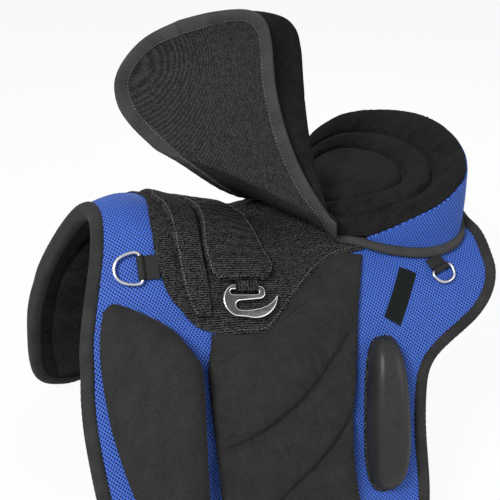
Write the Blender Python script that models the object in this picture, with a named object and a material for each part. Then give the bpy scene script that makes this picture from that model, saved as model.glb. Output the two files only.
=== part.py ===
"""Trail saddle with a lifting seat front, built from its pattern pieces.

Pattern pieces are drawn flat in (x, s): x runs rearward from the front arch and
s is the distance down the flap from the ridge, in millimetres.  A wrapping
function lays them on the horse-back surface at a layer offset.
Front is -X, the left (near) side is -Y.
"""
import bpy
import bmesh
import math
import numpy as np
from mathutils import Matrix, Vector
from mathutils.bvhtree import BVHTree

# Driving dimensions, mm
FLAP_DROP = 356.0          # front arch apex above the flap bottoms
ORIGIN_X = 191.6           # middle of the length, from the front arch
LAYER_GAP = 0.4            # gap between neighbouring layers
COVER = 2.5                # mesh cover thickness
FOAM = 8.0                 # foam core thickness
LINING = 3.0               # lining thickness
BEAD = 6.8                 # edge binding, reach beyond the cover
FOOT_RISE = 8.3            # cover's lower edge above the floor
INNER_SET = 1.2            # foam and lining stop this far inside the cover's edge
PANEL_LOFT = 15.0          # underside panels
ROLL_LOFT = 33.0           # knee rolls
THIGH_LOFT = 27.0          # thigh rolls
LEG_LOFT = 11.0            # quilted leg panels
WEB = 25.0                 # webbing width at the front rings
WEB_REAR = 18.0            # webbing width at the rear rings
WIRE = 2.0                 # ring wire radius
STRAP = 2.6                # strap and band thickness
HOOK_PLATE = 3.6           # stirrup hook plate thickness
SEAT_LINER = 2.0           # lining under the seat
BAND = 3.0                 # blue side band thickness
FOLD_A = (248.0, -68.0, -23.0)
FOLD_B = (123.0, 74.0, 37.0)
FOLD_REAR = (222.0, 62.0)  # far end of the seat rear's front face
OPEN_ANGLE = 94.0          # seat front, lifted from closed, degrees
FOLD_SLIT = 6.0            # bending strip, reach each way from the fold
FOLD_ARC = 0.35            # share of the strip's bulge that follows the full arc
SPINE_FRONT = 62.0
SPINE_REAR = 330.0

RIDGE = [(0, 0), (47, 8), (105, -6), (210, -36), (295, -40), (430, -24)]
SPREAD = [(0, 38), (63, 50), (126, 72), (252, 110), (357, 142), (430, 155)]
SLOPE = [(0, 66), (126, 70), (252, 75), (357, 78), (430, 78)]
TURN = [(0, 1.5), (126, 1.7), (252, 2.1), (430, 2.3)]
SAG = [(0, 0), (45, 1), (85, 5), (115, 10), (150, 13), (185, 14), (215, 11), (240, 4), (258, 0), (430, 0)]
SAG_WIDTH = 90.0           # how far down each flap the sag fades

# Outlines on the surface, (x, s)
FRONT_EDGE = [(0, 8), (18, 7), (54, -1), (88, -13), (121, -25), (147, -33), (170, -37),
              (198, -42), (232, -45), (292, -45), (350, -42), (390, -35), (416, -22),
              (432, -2), (440, 18)]
REAR_EDGE = [(0, 420), (40, 419), (80, 416), (108, 413), (130, 417), (159, 415), (181, 411),
             (201, 397), (215, 375), (225, 345), (234, 324), (249, 309), (273, 300),
             (312, 293), (389, 287), (412, 280), (430, 264), (440, 246)]
ROWS = [0, 10, 20, 30, 40, 50, 60, 70, 80, 90, 100, 110, 120, 130, 140, 155, 170, 185,
        200, 217, 235, 265, 300, 335, 370, 398, 420, 433, 440]
COARSE_ROWS = [0, 20, 40, 60, 80, 100, 120, 140, 170, 200, 235, 265, 300, 370, 398, 420, 433, 440]
COLUMN_LINES = [0, 34, 66, 96, 128, 166, 208, 250, 290, 335, 380, 425]

KNEE = dict(
    top=[(-12, 120), (-2, 116), (10, 124), (30, 143), (50, 164), (61, 183)],
    bottom=[(6, 376), (10, 388), (20, 394), (30, 390), (37, 378)],
    left=[(-12, 120), (-20, 142), (-25, 170), (-27, 206), (-26, 245), (-18, 304), (-6, 350), (6, 376)],
    right=[(61, 183), (63, 200), (60, 230), (52, 277), (44, 330), (37, 378)])
THIGH_CENTRE = (258.0, 281.0)
THIGH_AXES = (27.0, 81.0)
THIGH_LEAN = 8.0
LEG = dict(
    top=[(88, 173), (117, 176), (144, 175), (160, 163), (176, 147), (200, 126), (219, 112),
         (239, 103), (258, 100), (280, 108)],
    bottom=[(72, 384), (90, 396), (140, 402), (190, 397), (212, 384)],
    left=[(88, 173), (83, 204), (79, 239), (75, 290), (71, 341), (72, 384)],
    right=[(280, 108), (266, 135), (253, 165), (244, 195), (232, 235), (220, 276), (213, 318), (212, 384)])
LOOP_FRONT = [(0, 66), (20, 62), (40, 57), (60, 54), (82, 51), (119, 52), (141, 60), (155, 75), (170, 87)]
LOOP_FOOT = [(87, 170), (117, 173), (144, 172), (160, 160), (176, 144), (200, 123), (219, 109),
             (239, 100), (258, 97), (284, 100)]
POMMEL_FRONT = [(0, 70), (21, 76), (54, 75), (84, 72), (116, 70), (141, 72), (154, 76)]
POMMEL_REAR = [(0, 113), (32, 109), (64, 102), (84, 99), (105, 97), (138, 94), (154, 92)]
STRAP_FRONT = [(0, 122), (32, 115), (64, 106), (90, 101), (104, 100), (112, 102), (118, 107)]
STRAP_REAR = [(0, 181), (26, 175), (62, 170), (90, 169), (104, 168), (112, 162), (118, 148)]
FLANGE = [(246, 76), (278, 94), (303, 113), (329, 128), (351, 137), (371, 140), (387, 137),
          (398, 128), (406, 110), (411, 80), (413, 40), (414, 0)]
RIM = [(246, 80, -35), (268, 90, -42), (290, 103, -42), (305, 115, -33), (328, 133, -15),
       (350, 143, -1), (370, 142, 11), (389, 133, 22), (406, 111, 31), (418, 88, 36.5),
       (426, 64, 41), (432, 32, 45), (434, 0, 47)]
LABEL = [(315, 135), (330, 149), (294, 196), (280, 180)]


# Scene reset
for old in list(bpy.data.objects):
    bpy.data.objects.remove(old, do_unlink=True)
for old in list(bpy.data.meshes):
    bpy.data.meshes.remove(old)
SADDLE = bpy.data.collections.new("trail_saddle")
bpy.context.scene.collection.children.link(SADDLE)


def field(table, x):
    """Smooth curve through (x, value) pairs, straight beyond the ends."""
    xs = np.array([p[0] for p in table], float)
    ys = np.array([p[1] for p in table], float)
    m = np.empty_like(ys)
    m[0] = (ys[1] - ys[0]) / (xs[1] - xs[0])
    m[-1] = (ys[-1] - ys[-2]) / (xs[-1] - xs[-2])
    m[1:-1] = (ys[2:] - ys[:-2]) / (xs[2:] - xs[:-2])
    x = np.asarray(x, float)
    i = np.clip(np.searchsorted(xs, x, side="right") - 1, 0, len(xs) - 2)
    h = xs[i + 1] - xs[i]
    t = np.clip((x - xs[i]) / h, 0, 1)
    value = ((2 * t**3 - 3 * t**2 + 1) * ys[i] + (t**3 - 2 * t**2 + t) * h * m[i]
             + (-2 * t**3 + 3 * t**2) * ys[i + 1] + (t**3 - t**2) * h * m[i + 1])
    value = value + np.where(x < xs[0], m[0] * (x - xs[0]), 0)
    return value + np.where(x > xs[-1], m[-1] * (x - xs[-1]), 0)


def resample(points, count):
    """Points spread evenly along a smooth curve through the given ones."""
    pts = np.array(points, float)
    step = np.sqrt((np.diff(pts, axis=0) ** 2).sum(1))
    knots = np.concatenate([[0], np.cumsum(step)])
    t = np.linspace(0, 1, count) * knots[-1]
    return np.stack([field(list(zip(knots, pts[:, k])), t) for k in range(pts.shape[1])], -1)


def lay(x, s):
    """Point of the horse-back surface, datum at the front arch apex."""
    x = np.asarray(x, float)
    s = np.asarray(s, float)
    x, s = np.broadcast_arrays(x, s)
    reach = np.abs(s)
    spread, slope, turn = field(SPREAD, x), np.radians(field(SLOPE, x)), field(TURN, x)
    steps = 64
    y = np.zeros_like(reach)
    drop = np.zeros_like(reach)
    for k in range(steps):
        q = (reach * (k + 0.5) / steps / spread) ** turn
        lean = slope * q / (1 + q)
        y = y + np.cos(lean) * reach / steps
        drop = drop + np.sin(lean) * reach / steps
    sag = field(SAG, x) * np.exp(-(s / SAG_WIDTH) ** 2)
    return np.stack([x, -np.sign(s) * y, field(RIDGE, x) - drop - sag], -1)


def normal(x, s):
    tx = lay(np.asarray(x) + 1.0, s) - lay(np.asarray(x) - 1.0, s)
    ts = lay(x, np.asarray(s) + 1.0) - lay(x, np.asarray(s) - 1.0)
    n = np.cross(tx, -ts)
    return n / np.linalg.norm(n, axis=-1, keepdims=True)


def wrap(x, s, d):
    """Pattern point (x, s) at layer height d above the cover."""
    return lay(x, s) + normal(x, s) * np.asarray(d, float)[..., None]


def ground(x, y, d=0.0):
    """Height of the surface layer d above the plan point (x, y)."""
    x, y = np.broadcast_arrays(np.asarray(x, float), np.asarray(y, float))
    s = np.linspace(0, 320, 161)
    out = np.empty(x.shape)
    for index in np.ndindex(x.shape):
        p = wrap(np.full(s.shape, x[index]), s, np.full(s.shape, d))
        out[index] = np.interp(abs(y[index]), -p[:, 1], p[:, 2])
    return out


MATERIALS = {
    "mesh_blue": ((0.02, 0.09, 0.62), 0.75, 0.0),
    "suede_black": ((0.018, 0.018, 0.019), 0.85, 0.0),
    "loop_black": ((0.014, 0.014, 0.015), 0.95, 0.0),
    "binding_black": ((0.02, 0.02, 0.021), 0.8, 0.0),
    "fleece_black": ((0.012, 0.012, 0.013), 0.98, 0.0),
    "webbing_black": ((0.016, 0.016, 0.017), 0.7, 0.0),
    "foam_grey": ((0.09, 0.09, 0.1), 0.9, 0.0),
    "label_black": ((0.012, 0.02, 0.016), 0.6, 0.0),
    "steel_bright": ((0.78, 0.78, 0.8), 0.22, 1.0),
}


def material(name, key):
    colour, rough, metal = MATERIALS[key]
    mat = bpy.data.materials.new(name + "_" + key)
    mat.use_nodes = True
    shader = mat.node_tree.nodes["Principled BSDF"]
    shader.inputs["Base Color"].default_value = (*colour, 1.0)
    shader.inputs["Roughness"].default_value = rough
    shader.inputs["Metallic"].default_value = metal
    return mat


def world(points):
    """Datum millimetres to world metres, nothing below the floor."""
    p = np.array(points, float)
    p[:, 0] -= ORIGIN_X
    p[:, 2] = np.maximum(p[:, 2] + FLAP_DROP, 0.0)
    return p * 0.001


def add(name, points, faces, key, origin=None, smooth=True):
    """Closed mesh node from datum points; the origin is a datum point too."""
    p = world(points)
    o = world([origin])[0] if origin is not None else p.mean(0)
    mesh = bpy.data.meshes.new(name)
    mesh.from_pydata([tuple(v - o) for v in p], [], [tuple(f) for f in faces])
    mesh.validate()
    bm = bmesh.new()
    bm.from_mesh(mesh)
    bmesh.ops.remove_doubles(bm, verts=bm.verts, dist=2e-6)
    bmesh.ops.recalc_face_normals(bm, faces=bm.faces)
    bm.to_mesh(mesh)
    bm.free()
    for polygon in mesh.polygons:
        polygon.use_smooth = smooth
    if smooth:
        mesh.set_sharp_from_angle(angle=math.radians(42))
    obj = bpy.data.objects.new(name, mesh)
    obj.location = o
    mesh.materials.append(material(name, key))
    SADDLE.objects.link(obj)
    return obj


def both(name, points, faces, key, origin=None, smooth=True):
    """The left piece as given, and the right one mirrored across the ridge."""
    made = [add(name + "_left", points, faces, key, origin, smooth=smooth)]
    mirrored = np.array(points, float) * [1, -1, 1]
    turned = None if origin is None else np.array(origin, float) * [1, -1, 1]
    made.append(add(name + "_right", mirrored, faces, key, turned, smooth=smooth))
    return made


def slab(lower, upper, mirrored=False, wrapped=False):
    """Closed body between two grids; mirrored over the ridge, wrapped round the seat."""
    nv, nu = lower.shape[:2]
    points = np.concatenate([upper.reshape(-1, 3), lower.reshape(-1, 3)])
    n = nu * nv
    faces = []
    for j in range(nv - 1):
        for i in range(nu - 1):
            a = j * nu + i
            b, c, d = a + 1, a + nu + 1, a + nu
            other = (mirrored and j < nv // 2) or (wrapped and i >= nu // 2)
            pair = [(a, b, d), (b, c, d)] if other else [(a, b, c), (a, c, d)]
            for p, q, r in pair:
                faces.append((p, q, r))
                faces.append((n + p, n + r, n + q))
    rim = [j * nu for j in range(nv)] + [(nv - 1) * nu + i for i in range(1, nu)]
    rim += [j * nu + nu - 1 for j in range(nv - 2, -1, -1)] + [i for i in range(nu - 2, 0, -1)]
    for k, a in enumerate(rim):
        b = rim[(k + 1) % len(rim)]
        faces.append((a, b, n + b, n + a))
    return points, faces


def layer(grid, low, high, mirrored=False):
    """Slab over a pattern grid; low and high are heights or grids of them."""
    x, s = grid[..., 0], grid[..., 1]
    low = np.broadcast_to(np.asarray(low, float), x.shape)
    high = np.broadcast_to(np.asarray(high, float), x.shape)
    return slab(wrap(x, s, low), wrap(x, s, high), mirrored)


FACETS = []


def wrap_on(x, s, d, side=0):
    """Like wrap, but measured from facets: side 0 the cover, 1 the lining below."""
    x, s = np.broadcast_arrays(np.asarray(x, float), np.asarray(s, float))
    d = np.broadcast_to(np.asarray(d, float), x.shape)
    base, n = lay(x, s), normal(x, s)
    out = np.empty(base.shape)
    way = -1 if side == 0 else 1
    level = 0.0 if side == 0 else lining_low
    for index in np.ndindex(x.shape):
        start = base[index] + n[index] * (level - 12 * way)
        hit, _, _, far = FACETS[side].ray_cast(Vector(start), Vector(n[index] * way), 30)
        lift = (far - 12) * way if hit is not None else 0.0
        out[index] = base[index] + n[index] * (d[index] + lift)
    return out


def patch(grid, low, high, mirrored=False):
    """Slab lying on the cover's facets."""
    x, s = grid[..., 0], grid[..., 1]
    return slab(wrap_on(x, s, low), wrap_on(x, s, high), mirrored)


def coons(top, bottom, left, right, nu, nv):
    """Pattern grid filled in between four edge curves."""
    t, b = resample(top, nu + 1), resample(bottom, nu + 1)
    l, r = resample(left, nv + 1), resample(right, nv + 1)
    u = np.linspace(0, 1, nu + 1)[None, :, None]
    v = np.linspace(0, 1, nv + 1)[:, None, None]
    edges = (1 - v) * t[None] + v * b[None] + (1 - u) * l[:, None] + u * r[:, None]
    corners = ((1 - u) * (1 - v) * t[0] + u * (1 - v) * t[-1]
               + (1 - u) * v * b[0] + u * v * b[-1])
    return edges - corners


def across(front, rear, rows, columns):
    """Grid over the ridge between two (s, x) edges, on both sides."""
    s = np.array(rows, float)
    s = np.concatenate([-s[:0:-1], s])
    f, r = field(front, np.abs(s)), field(rear, np.abs(s))
    u = np.linspace(0, 1, columns + 1)
    x = f[:, None] + (r - f)[:, None] * u[None]
    return np.stack([x, np.broadcast_to(s[:, None], x.shape)], -1)


def bottom_line(x):
    """Distance down the flap at which it meets the floor."""
    s = np.linspace(380, 490, 56)
    out = []
    for value in np.ravel(x):
        z = lay(np.full(s.shape, value), s)[:, 2]
        out.append(np.interp(FLAP_DROP - FOOT_RISE, -z, s))
    return np.array(out).reshape(np.shape(x))


def base_grid(rows, inset=0.0):
    grid = across(FRONT_EDGE, REAR_EDGE, rows, len(COLUMN_LINES) - 1)
    w = np.clip((np.abs(grid[..., 1]) - 150) / 110, 0, 1)
    w = w * w * (3 - 2 * w)
    lines = np.array(COLUMN_LINES, float)[None]
    lines = np.clip(lines, grid[:, :1, 0] + 4 * np.arange(lines.size), grid[:, -1:, 0]
                    - 4 * np.arange(lines.size)[::-1])
    grid[:, 1:-1, 0] = (lines * (1 - w) + grid[..., 0] * w)[:, 1:-1]
    grid[:, 0, 0] += inset
    grid[:, -1, 0] -= inset
    x, s = grid[..., 0], grid[..., 1]
    last = rows[-1]
    t = np.clip((np.abs(s) - 370.0) / (last - 370.0), 0, 1)
    grid[..., 1] = np.sign(s) * (np.abs(s) + t * (bottom_line(x) - last))
    return grid


# Base: cover, foam and lining over the whole back
cover_low = -COVER
foam_high = cover_low - LAYER_GAP
foam_low = foam_high - FOAM
lining_high = foam_low - LAYER_GAP
lining_low = lining_high - LINING
fine = base_grid(ROWS)
coarse = base_grid(COARSE_ROWS, INNER_SET)
cover_body = layer(fine, cover_low, 0.0, True)
add("mesh_cover", *cover_body, "mesh_blue")
FACETS.append(BVHTree.FromPolygons([Vector(q) for q in cover_body[0]], cover_body[1]))
add("foam_core", *layer(coarse, foam_low, foam_high, True), "foam_grey")
lining_body = layer(coarse, lining_low, lining_high, True)
add("base_lining", *lining_body, "fleece_black")
FACETS.append(BVHTree.FromPolygons([Vector(q) for q in lining_body[0]], lining_body[1]))


def loop_path(grid):
    """Outline of the base grid, once round."""
    return np.concatenate([grid[:, 0], grid[-1, 1:], grid[-2::-1, -1], grid[0, -2:0:-1]])


def bead(path, section):
    """Closed tube along a pattern outline; section is (inward, height)."""
    ahead, behind = np.roll(path, -1, 0), np.roll(path, 1, 0)
    tangent = ahead - behind
    tangent /= np.linalg.norm(tangent, axis=1, keepdims=True)
    inward = np.stack([tangent[:, 1], -tangent[:, 0]], -1)
    centre = path.mean(0)
    if ((centre - path) * inward).sum() < 0:
        inward = -inward
    rings = []
    for a, d in section:
        p = path + inward * a
        rings.append(wrap(p[:, 0], p[:, 1], np.full(len(p), d)))
    return tube(np.stack(rings, 1))


def tube(rings):
    """Closed ring of sections."""
    n, m = rings.shape[:2]
    faces = []
    for i in range(n):
        for j in range(m):
            a, b = i * m + j, i * m + (j + 1) % m
            c, d = ((i + 1) % n) * m + (j + 1) % m, ((i + 1) % n) * m + j
            faces.append((a, b, c, d))
    return rings.reshape(-1, 3), faces


full = -lining_low
bead_section = [(-0.4, 1.0), (-3.8, 0.3), (-BEAD + 0.6, -full * 0.27), (-BEAD, -full * 0.5),
                (-BEAD + 0.6, -full * 0.75), (-3.8, -full - 0.3), (-0.4, -full - 1.0)]
add("edge_binding", *bead(loop_path(fine), bead_section), "binding_black")

# Underside panels, one each side of the spine
panel = coons(top=[(45, 60), (150, 52), (260, 52), (398, 60)],
              bottom=[(-14, 398), (60, 408), (180, 408), (262, 398)],
              left=[(45, 60), (12, 110), (-14, 160), (-24, 235), (-26, 300), (-14, 398)],
              right=[(398, 60), (400, 120), (388, 175), (340, 210), (292, 250), (276, 312), (262, 398)],
              nu=8, nv=12)
u = np.linspace(0, 1, 9)[None, :]
v = np.linspace(0, 1, 13)[:, None]
panel_crown = ((1 - (2 * u - 1) ** 6) * (1 - (2 * v - 1) ** 8)) ** 0.5
panel_high = lining_low - LAYER_GAP - 1.1 - 1.9 * np.clip((150 - panel[..., 1]) / 50, 0, 1)
panel_low = panel_high - 1.5 - PANEL_LOFT * panel_crown
both("underside_panel", *slab(wrap_on(panel[..., 0], panel[..., 1], panel_low, 1),
                              wrap_on(panel[..., 0], panel[..., 1], panel_high, 1)), "fleece_black")

# Knee rolls: highest at the rear edge, with a drawn-in foot
knee = coons(nu=8, nv=12, **KNEE)
u = np.linspace(0, 1, 9)[None, :]
ends = (1 - (2 * v - 1) ** 8) ** 0.5
side = (0.30 + 0.70 * np.sin(np.clip(u * 1.12, 0, 1) * np.pi / 2)) * (1 - u ** 14) ** 0.5
side = side * (1 - (1 - u) ** 6) ** 0.5
both("knee_roll", *patch(knee, LAYER_GAP, LAYER_GAP + 2.5 + ROLL_LOFT * side * ends), "suede_black")


def oval(centre, axes, lean, rings, around, power=2.3):
    """Pattern grid of rings round a centre, outermost last."""
    t = np.linspace(0, 2 * np.pi, around, endpoint=False)
    a = np.radians(lean)
    c, s = np.cos(t), np.sin(t)
    ex = axes[0] * np.sign(c) * np.abs(c) ** (2 / power)
    es = axes[1] * np.sign(s) * np.abs(s) ** (2 / power)
    edge = np.stack([ex * np.cos(a) - es * np.sin(a), ex * np.sin(a) + es * np.cos(a)], -1)
    return np.array([np.array(centre) + edge * r for r in rings])


def dome(grid, heights, foot):
    """Closed pad over rings; the first ring is a small fan around its middle."""
    n, m = grid.shape[:2]
    top = np.concatenate([wrap_on(grid[k, :, 0], grid[k, :, 1], heights[k]) for k in range(n)])
    middle = grid[0].mean(0)
    low = np.concatenate([wrap_on(grid[k, :, 0], grid[k, :, 1], foot) for k in range(n - 1, -1, -1)])
    caps = wrap_on([middle[0]] * 2, [middle[1]] * 2, [heights[0], foot])
    points = np.concatenate([top, low, caps])
    faces = []
    hub = 2 * n * m
    for j in range(m):
        k = (j + 1) % m
        for i in range(2 * n - 1):
            faces.append((i * m + j, (i + 1) * m + j, (i + 1) * m + k, i * m + k))
        faces.append((j, k, hub))
        faces.append(((2 * n - 1) * m + j, hub + 1, (2 * n - 1) * m + k))
    return points, faces


# Thigh rolls on their loop-backed ovals
backing = oval((THIGH_CENTRE[0], THIGH_CENTRE[1] + 5), (32.0, 90.0), THIGH_LEAN, (0.35, 0.7, 1.0), 24)
both("thigh_patch", *dome(backing, (LAYER_GAP * 2 + 1.4,) * 3, LAYER_GAP * 2), "loop_black")
roll_rings = (0.3, 0.55, 0.76, 0.9, 0.98, 1.0)
roll = oval(THIGH_CENTRE, THIGH_AXES, THIGH_LEAN, roll_rings, 24)
roll_foot = LAYER_GAP * 4 + 1.4
roll_heights = [roll_foot + 3.0 + (THIGH_LOFT - 3.0) * math.sqrt(1 - min(r, 0.995) ** 2.6) for r in roll_rings]
both("thigh_roll", *dome(roll, roll_heights, roll_foot), "suede_black")

# Quilted leg panels with sewn channels, lifted over the billets at the foot
CHANNELS = [[(76, 305), (110, 292), (150, 262), (190, 222), (225, 182), (245, 160)],
            [(118, 398), (150, 345), (185, 310), (222, 270)],
            [(84, 232), (120, 226), (165, 205), (200, 175), (222, 140)]]


def channel_depth(grid, depth, width):
    out = np.zeros(grid.shape[:2])
    for line in CHANNELS:
        pts = resample(line, 40)
        gap = np.sqrt(((grid[:, :, None] - pts[None, None]) ** 2).sum(-1)).min(-1)
        out = np.maximum(out, depth * np.exp(-(gap / width) ** 2))
    return out


leg = coons(nu=12, nv=18, **LEG)
u = np.linspace(0, 1, 13)[None, :]
v = np.linspace(0, 1, 19)[:, None]
crown = ((1 - (2 * u - 1) ** 8) * (1 - (2 * v - 1) ** 10)) ** 0.5
lift = LAYER_GAP + 3.6 * np.clip((v - 0.48) / 0.16, 0, 1)
leg_top = lift + 2.0 + LEG_LOFT * crown - channel_depth(leg, 6.0, 9.0) * crown
lift = lift + 0.5 * np.clip((190 - leg[..., 1]) / 30, 0, 1)
both("leg_panel", *patch(leg, lift, leg_top), "suede_black")

# Girth billets under the foot of each leg panel
for word, x0 in (("front", 112.0), ("rear", 176.0)):
    strip = coons([(x0 - 12.5, 346), (x0 + 12.5, 346)], [(x0 - 9, 426), (x0 + 9, 426)],
                  [(x0 - 12.5, 346), (x0 - 12.5, 416), (x0 - 9, 426)],
                  [(x0 + 12.5, 346), (x0 + 12.5, 416), (x0 + 9, 426)], 2, 6)
    both("billet_" + word, *patch(strip, LAYER_GAP, LAYER_GAP + 2.4), "webbing_black")

# Loop fabric over the top, then the pommel band and the stirrup strap
loop_lines = np.array([0.0, 66, 96, 128, 166, 208, 250, 284])
loop_rows = np.arange(0.0, 91.0, 10.0)
upper_rows = np.stack(np.broadcast_arrays(loop_lines[None], loop_rows[:, None]), -1).copy()
upper_rows[:, 0, 0] = field(LOOP_FRONT, loop_rows)
upper_rows[:, 1, 0] = np.maximum(66, upper_rows[:, 0, 0] + 4)
foot_s = field(LOOP_FOOT, loop_lines)
foot_s[:2] = (150.0, 163.0)
foot_s[2] = 171.0
lower_rows = []
for share in (0.25, 0.5, 0.75, 1.0):
    row_s = 90 + (foot_s - 90) * share
    row_x = loop_lines.copy()
    row_x[0] = field(LOOP_FRONT, row_s[0])
    row_x[1] = max(66.0, row_x[0] + 4)
    lower_rows.append(np.stack([row_x, row_s], -1))
half = np.concatenate([upper_rows, np.array(lower_rows)])
loop_grid = np.concatenate([half[:0:-1] * [1, -1], half])
loop_low = LAYER_GAP + 0.9 * np.clip((np.abs(loop_grid[..., 1]) - 90) / 20, 0, 1)
add("loop_patch", *patch(loop_grid, loop_low, loop_low + 1.5, True), "loop_black")
band_low = LAYER_GAP * 2 + 1.5
band_rows = list(range(0, 151, 10)) + [154]
pommel = across(POMMEL_FRONT, POMMEL_REAR, band_rows, 2)
pommel[:, 1, 0] = np.clip(96.0, pommel[:, 0, 0] + 8, pommel[:, 2, 0] - 8)
over = band_low + 0.9 * np.clip((np.abs(pommel[..., 1]) - 90) / 20, 0, 1)
add("pommel_band", *patch(pommel, over, over + STRAP, True), "loop_black")
strap_rows = list(range(0, 111, 10)) + [118]
strap = across(STRAP_FRONT, STRAP_REAR, strap_rows, 4)
strap[:, 1, 0] = np.maximum(128.0, strap[:, 0, 0] + 5)
strap[:, 3, 0] = np.minimum(166.0, strap[:, 4, 0] - 4)
strap[:, 2, 0] = (strap[:, 1, 0] + strap[:, 3, 0]) / 2
hump = np.clip((np.abs(strap[..., 1]) - 84) / 12, 0, 1) * 4.6
add("stirrup_strap", *patch(strap, band_low + hump, band_low + hump + STRAP, True), "loop_black")

# Bare label patch on the left
label = np.array([[LABEL[0], LABEL[1]], [LABEL[3], LABEL[2]]], float)
label_grid = np.array([[label[0, 0] * (1 - a) * (1 - b) + label[0, 1] * b * (1 - a)
                        + label[1, 0] * a * (1 - b) + label[1, 1] * a * b
                        for b in (0, 1)] for a in np.linspace(0, 1, 5)])
add("label_patch", *patch(label_grid, LAYER_GAP + 0.2, LAYER_GAP + 1.1), "label_black")


def place(x, s, d, turn=0.0):
    """Flat local frame on the surface: columns are across, up and outward."""
    o = wrap(np.array([x]), np.array([s]), np.array([d]))[0]
    n = normal(np.array([x]), np.array([s]))[0]
    tx = (lay(x + 1.0, s) - lay(x - 1.0, s))
    tx = tx - n * (tx @ n)
    tx /= np.linalg.norm(tx)
    up = np.cross(n, tx)
    a = math.radians(turn)
    return o, np.stack([tx * math.cos(a) + up * math.sin(a), up * math.cos(a) - tx * math.sin(a), n], -1)


def solid_outline(outlines, thickness):
    """Plate from closed 2D outlines, later ones being holes; welded mesh data."""
    curve = bpy.data.curves.new("outline", "CURVE")
    curve.dimensions = "2D"
    curve.fill_mode = "BOTH"
    curve.extrude = thickness / 2
    for line in outlines:
        spline = curve.splines.new("POLY")
        spline.points.add(len(line) - 1)
        for point, (a, b) in zip(spline.points, line):
            point.co = (a, b, 0, 1)
        spline.use_cyclic_u = True
    holder = bpy.data.objects.new("outline", curve)
    bpy.context.scene.collection.objects.link(holder)
    bpy.context.view_layer.update()
    mesh = bpy.data.meshes.new_from_object(holder)
    bm = bmesh.new()
    bm.from_mesh(mesh)
    bmesh.ops.remove_doubles(bm, verts=bm.verts, dist=1e-3)
    bm.verts.index_update()
    points = np.array([v.co[:] for v in bm.verts])
    faces = [[v.index for v in f.verts] for f in bm.faces]
    bm.free()
    bpy.data.objects.remove(holder, do_unlink=True)
    bpy.data.curves.remove(curve)
    bpy.data.meshes.remove(mesh)
    return points, faces


def arc(cx, cy, r, a0, a1, n):
    t = np.radians(np.linspace(a0, a1, n))
    return [(cx + r * math.cos(a), cy + r * math.sin(a)) for a in t]


def set_in(frame, points):
    o, axes = frame
    return o + points @ axes.T


def webbing_tab(frame, width, tail, hole, wall, depth):
    """Folded webbing round a bar: the loop, and its doubled tail along +y."""
    outer = hole + wall
    base = -outer
    join = math.degrees(math.asin((base + depth) / outer))
    outline = [(tail, base), (tail, base + depth)] + arc(0, 0, outer, join, 270, 12)
    points, faces = solid_outline([outline, arc(0, 0, hole, 0, 330, 12)], width)
    local = np.stack([points[:, 2], points[:, 0], points[:, 1]], -1)
    return set_in(frame, local), faces


def ring(frame, width, bow, wire):
    """D-ring wire, its straight bar on the local x axis, the bow towards -y."""
    a = width / 2
    path = [(a, 0), (0, 0), (-a, 0)]
    path += [(-a * math.cos(t), -2 - (bow - 2) * math.sin(t)) for t in np.linspace(0.0, math.pi, 13)]
    path = np.array(path)
    n = len(path)
    rings = []
    for i in range(n):
        t = path[(i + 1) % n] - path[i - 1]
        t /= np.linalg.norm(t)
        out = np.array([t[1], -t[0], 0])
        section = []
        for k in range(6):
            b = 2 * math.pi * (k + 0.5) / 6
            section.append(np.array([*path[i], 0]) + wire * (math.cos(b) * out + math.sin(b) * np.array([0, 0, 1])))
        rings.append(section)
    points, quads = tube(np.array(rings))
    faces = [f for a, b, c, d in quads for f in ((a, b, c), (a, c, d))]
    return set_in(frame, points), faces


# Tack rings on webbing tabs
TAB_HOLE = WIRE + 0.45
TAB_WALL = 1.3
bar_height = LAYER_GAP + TAB_HOLE + TAB_WALL
front_frame = place(33.0, 95.0, bar_height, -105.0)
rear_frame = place(357.0, 155.0, bar_height, 6.0)
for word, frame, web, bow, tail in (("front", front_frame, WEB, 27.0, 15.0),
                                    ("rear", rear_frame, WEB_REAR, 17.0, 9.5)):
    both(word + "_ring_tab", *webbing_tab(frame, web, tail, TAB_HOLE, TAB_WALL, 2.8), "webbing_black")
    both(word + "_ring", *ring(frame, web + 2 * WIRE + 2.4, bow, WIRE), "steel_bright", origin=frame[0])

# Stirrup hooks: a closed slot for the keeper, an open mouth to the rear
hook_outline = (arc(-12, 6.2, 10, 90, 180, 6) + arc(-15, -6, 12, 195, 270, 6)
                + [(10, -18)] + arc(14, -4, 14, 285, 345, 6) + [(30, 1.5), (28.6, 2.2)]
                + [(26.4, -1.0), (20, -5.5), (12, -8)] + arc(-13, -3.7, 4.3, 270, 90, 7)
                + arc(18.5, 4, 3.4, 270, 360, 4) + arc(15, 9.2, 7, 0, 90, 5))
hook_slot = arc(-9, 7.9, 3.7, 90, 270, 6) + arc(11, 7.9, 3.7, 270, 450, 6)
hook_points, hook_faces = solid_outline([hook_outline, hook_slot], HOOK_PLATE)
hook_bar = 13.9
keeper_high = 7.4
hook_centre_s = 140.0
hook_frame = place(137.0, hook_centre_s - hook_bar, keeper_high, 0.0)
both("stirrup_hook", set_in(hook_frame, hook_points - [0, hook_bar, 0]), hook_faces, "steel_bright",
     origin=hook_frame[0])
keeper_outer = [(-4.6, -4.3), (14, -4.3), (14, -1.6), (6, -1.6), (6, 4.3), (-4.6, 4.3)]
keeper_inner = [(-3.3, -3.1), (3.6, -3.1), (3.6, 3.1), (-3.3, 3.1)]
keeper_points, keeper_faces = solid_outline([keeper_outer, keeper_inner], 18.0)
keeper_local = np.stack([keeper_points[:, 2], keeper_points[:, 0], keeper_points[:, 1]], -1)
both("hook_keeper", set_in(hook_frame, keeper_local), keeper_faces, "webbing_black", smooth=False)

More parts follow.
